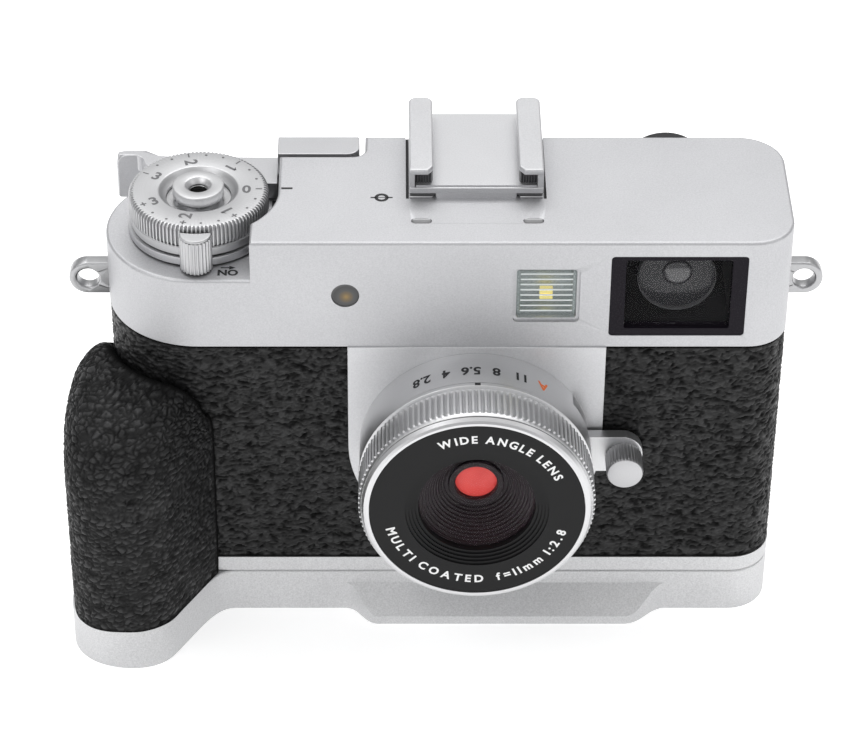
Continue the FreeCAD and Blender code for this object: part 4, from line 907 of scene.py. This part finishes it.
def radial_bar(deg, ra, rb, w):
    a = math.radians(deg)
    k = len(vv)
    for rr, ww in ((ra, -w), (ra, w), (rb, w), (rb, -w)):
        vv.append((DC[0] + rr * math.cos(a) - ww * math.sin(a), DC[1] + rr * math.sin(a) + ww * math.cos(a), 73.315))
    ff.append([k, k + 1, k + 2, k + 3])


for deg in (0, 51, 102, 153):
    radial_bar(deg, 8.85, 9.85, 0.12)
for deg in (-51, -102, -153):
    radial_bar(deg, 8.75, 9.75, 0.13)
    a = math.radians(deg)
    cx, cy = DC[0] + 9.25 * math.cos(a), DC[1] + 9.25 * math.sin(a)
    k = len(vv)
    for t, w in ((-0.5, -0.13), (0.5, -0.13), (0.5, 0.13), (-0.5, 0.13)):
        vv.append((cx - t * math.sin(a) + w * math.cos(a), cy + t * math.cos(a) + w * math.sin(a), 73.316))
    ff.append([k, k + 1, k + 2, k + 3])
for i in range(-8, 9):
    deg = i * 17
    if deg % 51 == 0:
        continue
    a = math.radians(deg)
    cx, cy = DC[0] + 9.3 * math.cos(a), DC[1] + 9.3 * math.sin(a)
    k = len(vv)
    for j in range(10):
        b = 2 * PI * j / 10
        vv.append((cx + 0.22 * math.cos(b), cy + 0.22 * math.sin(b), 73.315))
    ff.append(list(range(k, k + 10)))
dial_marks = mesh_obj("dial_marks", vv, ff)
give(dial_marks, M_grey, "exposure_dial")

# shutter button with a threaded release funnel
prof = [(0.0, 68.1), (1.35, 68.1)]
z = 68.3
while z < 73.0:
    prof += [(1.35, z), (1.5, z + 0.2)]
    z += 0.4
prof += [(1.42, 73.2), (1.5, 73.4), (1.98, 74.0), (2.1, 74.07), (2.22, 74.1), (3.66, 74.1), (3.84, 74.07), (3.96, 73.97), (4.0, 73.82),
         (4.0, 72.5), (3.97, 72.46), (3.93, 72.5), (3.93, 72.75), (2.4, 72.75), (2.4, 64.1), (3.0, 64.1), (3.0, 63.3), (0.0, 63.3)]
button = lathe("release_button", "Z", DC, prof, 96, closed=False, smooth=25)
give(button, M_button, "shutter_button")
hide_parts("shutter_button")

# The threaded bore is near black: painted shade down the deep hole.
bore = lathe("release_bore", "Z", DC, [(0.0, 68.35), (1.33, 68.35), (1.33, 68.6), (1.2, 68.8), (1.33, 69.0), (1.2, 69.2), (1.33, 69.4), (1.2, 69.6),
                                      (1.33, 69.8), (1.2, 70.0), (1.33, 70.2), (1.2, 70.4), (1.33, 70.6), (1.2, 70.8), (1.33, 71.0), (1.2, 71.2),
                                      (1.33, 71.4), (1.2, 71.6), (1.33, 71.8), (1.2, 72.0), (1.33, 72.2), (1.2, 72.4), (1.345, 72.65), (1.345, 72.9)], 64,
             closed=False, smooth=20)
give(bore, M_bore_shade, "shutter_button")

# power switch ring with its knurled grip
ring = lathe("switch_ring", "Z", DC, [(5.06, 68.0), (10.4, 68.0), (10.6, 68.12), (10.6, 69.38), (10.4, 69.5), (5.06, 69.5)], 160)
pts = []
rc, rg, gy = 11.15, 2.5, -11.1
d = abs(gy)
aa = (d * d + rc * rc - rg * rg) / (2 * d)
hh = math.sqrt(rc * rc - aa * aa)
half = math.asin(hh / rc)
for i in range(9):
    t = half - 2 * half * i / 8
    pts.append((DC[0] + rc * math.sin(t), -rc * math.cos(t)))
x0 = math.atan2(-aa - gy, -hh)
x1 = math.atan2(-aa - gy, hh)
lo_a = x0 if x0 < 0 else x0 - 2 * PI
n_k = 16
a_start = math.atan2(-aa - gy, -hh)
a_end = math.atan2(-aa - gy, hh)
while a_start > a_end:
    a_start -= 2 * PI
# outer arc runs from the left crossing round the front to the right crossing
span = a_end - a_start
outer_pts = []
N = 13 * 6
for i in range(1, N):
    a = a_start + span * i / N
    f = [0, 0, 0, 0.75, 1.0, 0.75][i % 6]
    edge = min(i, N - i) / 6.0
    r = rg - 0.22 * f * (1.0 if edge > 0.8 else 0.0)
    outer_pts.append((DC[0] + r * math.cos(a), gy + r * math.sin(a)))
grip_body = prism("switch_grip_low", pts + outer_pts, 66.6, 72.2)
cap_pts = []
for x, y in pts + [(DC[0] + (rg) * math.cos(a_start + span * i / 24), gy + rg * math.sin(a_start + span * i / 24)) for i in range(1, 24)]:
    cap_pts.append((x, y))
grip_cap = prism("switch_grip_cap", [(DC[0] + (x - DC[0]) * 0.985, -11.9 + (y + 11.9) * 0.985) for x, y in cap_pts], 72.2, 72.8, bev=0.25, seg=3)
neck = prism("switch_neck", [(-44.9, -12.2), (-41.1, -12.2), (-41.1, -9.6), (-44.9, -9.6)], 68.05, 69.45)
switch = join("switch_knurled", [ring, grip_body, grip_cap, neck])
give(switch, M_dial, "power_switch")
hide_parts("power_switch")

# advance lever: hub, plate behind the dial, thumb flange on the left and thumb bar on the right
hub = lathe("lever_hub", "Z", DC, [(5.06, 66.5), (10.9, 66.5), (11.05, 66.6), (11.05, 67.7), (10.95, 67.8), (5.06, 67.8)], 160)
arc_pts = []
for i in range(25):
    a = math.radians(133 - (133 - 40.6) * i / 24)
    arc_pts.append((DC[0] + 11.06 * math.cos(a), 11.06 * math.sin(a)))
plate = prism("lever_plate", [(-31.06, 7.2), (-31.06, 14.5), (-47.3, 14.75), (-50.4, 15.05), (-51.6, 15.7), (-52.6, 16.25), (-53.6, 16.45),
                              (-55.6, 16.45), (-56.5, 16.1), (-56.75, 15.4), (-53.6, 15.15), (-52.6, 14.3), (-51.9, 12.0)] + arc_pts, 66.5, 69.4, bev=0.12)
flange = prism("lever_flange", rounded([(-56.88, 61.25), (-49.9, 61.25), (-50.1, 68.4), (-52.2, 69.38), (-56.88, 69.38)], [0.5, 0.5, 0.8, 1.0, 1.7]), 15.1, 16.6,
               plane="XZ", bev=0.28, seg=3)
bar = prism("lever_bar", rounded([(-31.03, 9.72), (-18.22, 9.72), (-18.22, 14.53), (-31.03, 14.53)], [0.15, 1.9, 0.3, 0.15]), 66.55, 73.28,
            bev=0.5, seg=4)
lever = join("lever_blade", [hub, plate, flange, bar])
give(lever, M_leverm, "advance_lever")
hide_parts("advance_lever")

# ---------------------------------------------------------------- lens
apt = lathe("aperture_knurled", "Y", LENS, [
    (16.66, -22.4), (18.15, -22.4), (18.35, -22.52), (18.35, -23.15), (18.25, -23.25), (17.85, -23.4), (17.85, -23.75),
    (18.0, -23.9, 0.3), (18.33, -24.05, 1), (18.33, -29.25, 1), (18.1, -29.4, 0.3), (18.05, -29.5), (18.0, -30.0),
    (17.9, -30.15), (16.66, -30.15)], knurl=(120, 0.55, [0, 0, 0, 0.8, 1.0, 0.8]))
give(apt, M_lens, "aperture_ring")
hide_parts("aperture_ring")
idx = []
for a, y in ((-0.024, -22.5), (0.024, -22.5), (0.024, -23.15), (-0.024, -23.15)):
    idx.append(place("Y", LENS, 18.365, a, y))
index = mesh_obj("aperture_index", idx, [[0, 1, 2, 3]])
give(index, M_ink_and_shade, "aperture_ring")


def band_map(v, data):
    phi, y0 = data
    return place("Y", LENS, 18.215, phi - v.x / 18.2, y0 - v.y)


items, orange = [], []
for lab, deg in (("2.8", -28), ("4", -15.4), ("5.6", -3), ("8", 9.4), ("11", 22), ("A", 34)):
    vs, fs = text_mesh(lab, 2.55, bold=0.03)
    (orange if lab == "A" else items).append((vs, fs, (math.radians(deg), -19.2)))
band_text = mesh_obj("band_numbers", *map_text(items, band_map))
give(band_text, M_ink_and_shade, "camera")
band_a = mesh_obj("band_auto", *map_text(orange, band_map))
give(band_a, M_orange, "camera")


def arc_text(s, size, r, centre_deg, outward, spacing=1.0):
    """Text on the name ring, seen from the front. Angle from the top, clockwise towards +X."""
    widths, glyphs = [], []
    for ch in s:
        if ch == " ":
            widths.append(size * 0.38)
            glyphs.append(None)
            continue
        vs, fs = text_mesh(ch, size, bold=0.032)
        xs = [v.x for v in vs]
        w = max(xs) - min(xs)
        cx = (max(xs) + min(xs)) / 2
        glyphs.append(([Vector((v.x - cx, v.y, 0)) for v in vs], fs))
        widths.append(w + size * 0.17 * spacing)
    total = sum(widths)
    res = []
    pos = -total / 2
    for gl, w in zip(glyphs, widths):
        mid = pos + w / 2
        pos += w
        if gl is None:
            continue
        phi = math.radians(centre_deg) + (mid / r if outward else -mid / r)
        res.append((gl[0], gl[1], (phi, r, outward)))
    return res


def name_map(v, data):
    phi, r, outward = data
    right = (math.cos(phi), -math.sin(phi))
    up = (math.sin(phi), math.cos(phi))
    if not outward:
        right = (-right[0], -right[1])
        up = (-up[0], -up[1])
    x = r * math.sin(phi) + right[0] * v.x + up[0] * v.y
    zz = r * math.cos(phi) + right[1] * v.x + up[1] * v.y
    return (x, -31.015, LENS[1] + zz)


ring_items = arc_text("WIDE ANGLE LENS", 1.95, 13.9, 19, True, 1.35) + arc_text("MULTI COATED  f=11mm 1:2.8", 2.0, 13.9, 181, False, 1.6)
ring_text = mesh_obj("ring_lettering", *map_text(ring_items, name_map))
give(ring_text, M_white, "camera")

# ribbed cone behind the front glass, with the front group's tube standing up in its middle
prof = [(15.3, -28.5), (9.0, -28.5)]
nrib = 10
for i in range(nrib):
    r0 = 8.9 - (8.9 - 4.75) * i / nrib
    r1 = 8.9 - (8.9 - 4.75) * (i + 1) / nrib
    y0 = -28.3 + 4.4 * i / nrib
    y1 = -28.3 + 4.4 * (i + 1) / nrib
    prof += [(r0, y0), (r0 - 0.10, y0 + 0.05), (r0 - 0.15, y1 - 0.10), (r1 + 0.10, y1)]
prof += [(4.6, -23.85), (4.35, -23.9), (4.35, -24.35), (4.2, -24.5), (3.45, -24.5), (3.3, -24.38), (3.25, -24.0), (3.25, -22.5), (15.3, -22.5)]
cone = lathe("ribbed_cone", "Y", LENS, prof, 160, smooth=24)
give(cone, M_baffle, "camera")
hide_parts("lens_baffle")

knob = lathe("knob_knurled", "Y", (23.3, 34.3), [
    (0.0, -17.15), (2.3, -17.15), (2.45, -17.2), (2.88, -17.6, 1), (2.9, -17.8, 1), (2.9, -21.2, 1), (2.88, -21.5, 0.6),
    (2.72, -21.84), (2.6, -21.9), (0.0, -21.9)], knurl=(34, 0.2, [0, 0, 0.8, 1.0, 0.8]), closed=False)
give(knob, M_knob, "focus_lever")
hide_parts("focus_knob")

# ---------------------------------------------------------------- lamp window with moulded ribs
verts, faces = [], []
xa, xb = 6.0, 15.0
levels = []
z = 59.1
while z < 67.9:
    levels += [(z, -14.28), (z + 0.22, -14.02), (z + 0.52, -13.95), (z + 0.82, -14.02), (z + 1.04, -14.28)]
    z += 1.055
levels = [lv for lv in levels if lv[0] <= 68.0]
n = len(levels)
for x in (xa, xb):
    for zz, yy in levels:
        verts.append((x, yy, zz))
    for zz, yy in levels:
        verts.append((x, -13.25, zz))
for i in range(n - 1):
    faces.append([i, i + 1, 2 * n + i + 1, 2 * n + i])
    faces.append([n + i, 3 * n + i, 3 * n + i + 1, n + i + 1])
    faces.append([i, n + i, n + i + 1, i + 1])
    faces.append([2 * n + i, 2 * n + i + 1, 3 * n + i + 1, 3 * n + i])
faces.append([0, 2 * n, 3 * n, n])
faces.append([n - 1, 2 * n - 1, 4 * n - 1, 3 * n - 1])
ribs = mesh_obj("lamp_ribs", verts, faces, 25)
give(ribs, M_diffuser, "camera")
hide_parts("led_window")

lo_y, hi_y = -11.75, -10.85
chip_bits = [prism("chip_a", [(9.6, 60.78), (11.6, 60.78), (11.6, 61.6), (9.6, 61.6)], lo_y, hi_y, plane="XZ", bev=0.08),
             prism("chip_b", [(9.6, 61.85), (11.6, 61.85), (11.6, 62.7), (9.6, 62.7)], lo_y, hi_y, plane="XZ", bev=0.08)]
chips = join("lamp_chips", chip_bits)
give(chips, M_led, "camera")
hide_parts("led_chips")
bars = join("lamp_bars", [prism("bar", [(6.5, 60.35 + q * 0.985), (14.5, 60.35 + q * 0.985), (14.5, 60.57 + q * 0.985), (6.5, 60.57 + q * 0.985)],
                                -14.32, -14.12, plane="XZ", bev=0.05) for q in range(8)])
give(bars, M_frost, "camera")

# finder: a shallow front lens in its ring, and the small objective behind it
FC = (30.6, 64.4)
ringp = lathe("finder_ring", "Y", FC, [(5.85, -11.0), (6.0, -11.25), (6.12, -11.0), (6.12, -9.6), (5.85, -9.6)], 96)
give(ringp, M_findring, "camera")
lensp = lathe("finder_lens", "Y", FC, [(0.0, -11.6), (1.5, -11.52), (3.0, -11.3), (4.4, -11.0), (5.8, -10.6), (5.8, -9.7), (0.0, -9.7)], 96,
              closed=False)
give(lensp, M_findlens, "camera")
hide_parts("viewfinder_objective")
small = []
for i in range(9):
    a = PI / 2 * i / 8
    small.append((2.35 * math.sin(a), -11.2 - 1.1 * math.cos(a)))
small += [(2.6, -11.1), (2.6, -10.9)]
smallp = lathe("finder_pupil", "Y", (30.6, 65.6), small, 64, closed=False)
give(smallp, M_pupil, "camera")

# ---------------------------------------------------------------- printed marks on the cover, and painted shade in the grooves beside the shoe and in the slot beside the dial
mv, mf = [], []


def quad(x0, y0, x1, y1, z):
    k = len(mv)
    mv.extend([(x0, y0, z), (x1, y0, z), (x1, y1, z), (x0, y1, z)])
    mf.append([k, k + 1, k + 2, k + 3])


quad(-30.2, -0.14, -28.45, 0.36, 73.312)
quad(-16.4, -2.57, -15.5, -2.23, 73.312)
quad(-13.9, -2.57, -13.0, -2.23, 73.312)
quad(-15.5, -2.48, -13.9, -2.32, 73.311)
# Dark strip on the deck beside the dial: painted shade standing in for the dark slot there.
quad(-31.95, -4.5, -30.7, 6.9, 66.27)
# Dark strips at the bottom of the grooves beside the shoe: painted shade in the grooves.
quad(-10.93, -2.6, -10.52, 14.2, 73.0)
quad(10.27, -2.6, 10.68, 14.2, 73.0)
k = len(mv)
for j in range(24):
    b = 2 * PI * j / 24
    for r in (0.56, 1.1):
        mv.append((-14.7 + r * math.cos(b), -2.4 + r * math.sin(b), 73.312))
for j in range(24):
    j2 = (j + 1) % 24
    mf.append([k + 2 * j, k + 2 * j + 1, k + 2 * j2 + 1, k + 2 * j2])
vs, fs = text_mesh("ON", 2.0, bold=0.045)
k = len(mv)
mv.extend([(-38.2 - v.x, -12.3 - v.y, 66.262) for v in vs])
mf.extend([[k + i for i in f] for f in fs])
quad(-39.3, -11.25, -37.9, -10.95, 66.262)
k = len(mv)
mv.extend([(-38.0, -11.6, 66.262), (-38.0, -10.6, 66.262), (-37.0, -11.1, 66.262)])
mf.append([k, k + 1, k + 2])
marks = mesh_obj("cover_print_and_shade", mv, mf)
give(marks, M_ink_and_shade, "camera")

# ---------------------------------------------------------------- floor, light, camera
bpy.ops.mesh.primitive_plane_add(size=6.0, location=(0, 0, -0.00005))
floor = bpy.context.object
floor.name = "floor"
fm = Mat("floor_paper")
fm.l(fm.ramp(fm.noise(fm.mapping(), 3.0), [(0.3, (0.86, 0.86, 0.86)), (0.7, (0.90, 0.90, 0.90))]), fm.b.inputs["Base Color"])
fm.set(Roughness=0.9, Specular_IOR_Level=0.1)
fm.b.inputs["Emission Color"].default_value = (1, 1, 1, 1)
fm.b.inputs["Emission Strength"].default_value = 0.47
floor.data.materials.append(fm.m)

world = bpy.data.worlds.new("studio")
bpy.context.scene.world = world
world.use_nodes = True
wt = world.node_tree
sky = wt.nodes.new("ShaderNodeTexCoord")
split = wt.nodes.new("ShaderNodeSeparateXYZ")
wt.links.new(sky.outputs["Generated"], split.inputs[0])
grade = wt.nodes.new("ShaderNodeValToRGB")
grade.color_ramp.elements[0].position = 0.0
grade.color_ramp.elements[0].color = (0.42, 0.42, 0.43, 1)
grade.color_ramp.elements[1].position = 0.75
grade.color_ramp.elements[1].color = (0.80, 0.80, 0.80, 1)
wt.links.new(split.outputs["Z"], grade.inputs["Fac"])
wt.links.new(grade.outputs["Color"], wt.nodes["Background"].inputs[0])
wt.nodes["Background"].inputs[1].default_value = 0.93


def area(name, loc, target, sx, sy, power, col=(1, 1, 1)):
    ld = bpy.data.lights.new(name, "AREA")
    ld.shape = "RECTANGLE"
    ld.size = sx
    ld.size_y = sy
    ld.energy = power
    ld.color = col
    ob = link(bpy.data.objects.new(name, ld))
    ob.location = loc
    ob.rotation_euler = (Vector(target) - Vector(loc)).to_track_quat("-Z", "Y").to_euler()
    return ob


area("key", (-0.5, -0.45, 0.75), (0, 0, 0.04), 0.55, 0.55, 1.9)
area("fill", (0.65, -0.35, 0.55), (0, 0, 0.04), 0.45, 0.45, 0.62)
area("top", (0.0, 0.35, 0.8), (0, 0, 0.04), 0.9, 0.4, 3.4)

cam_data = bpy.data.cameras.new("camera")
cam = link(bpy.data.objects.new("camera", cam_data))
cam.location = (-0.01330, -0.42468, 0.36408)
cam.rotation_euler = (math.radians(53.0), 0, 0)
cam_data.sensor_width = 36.0
cam_data.lens = 138.91
cam_data.shift_x = 0.0473
cam_data.shift_y = -0.0435
cam_data.clip_start = 0.01
bpy.context.scene.camera = cam
bpy.context.scene.view_settings.view_transform = "Standard"
bpy.context.scene.view_settings.look = "None"
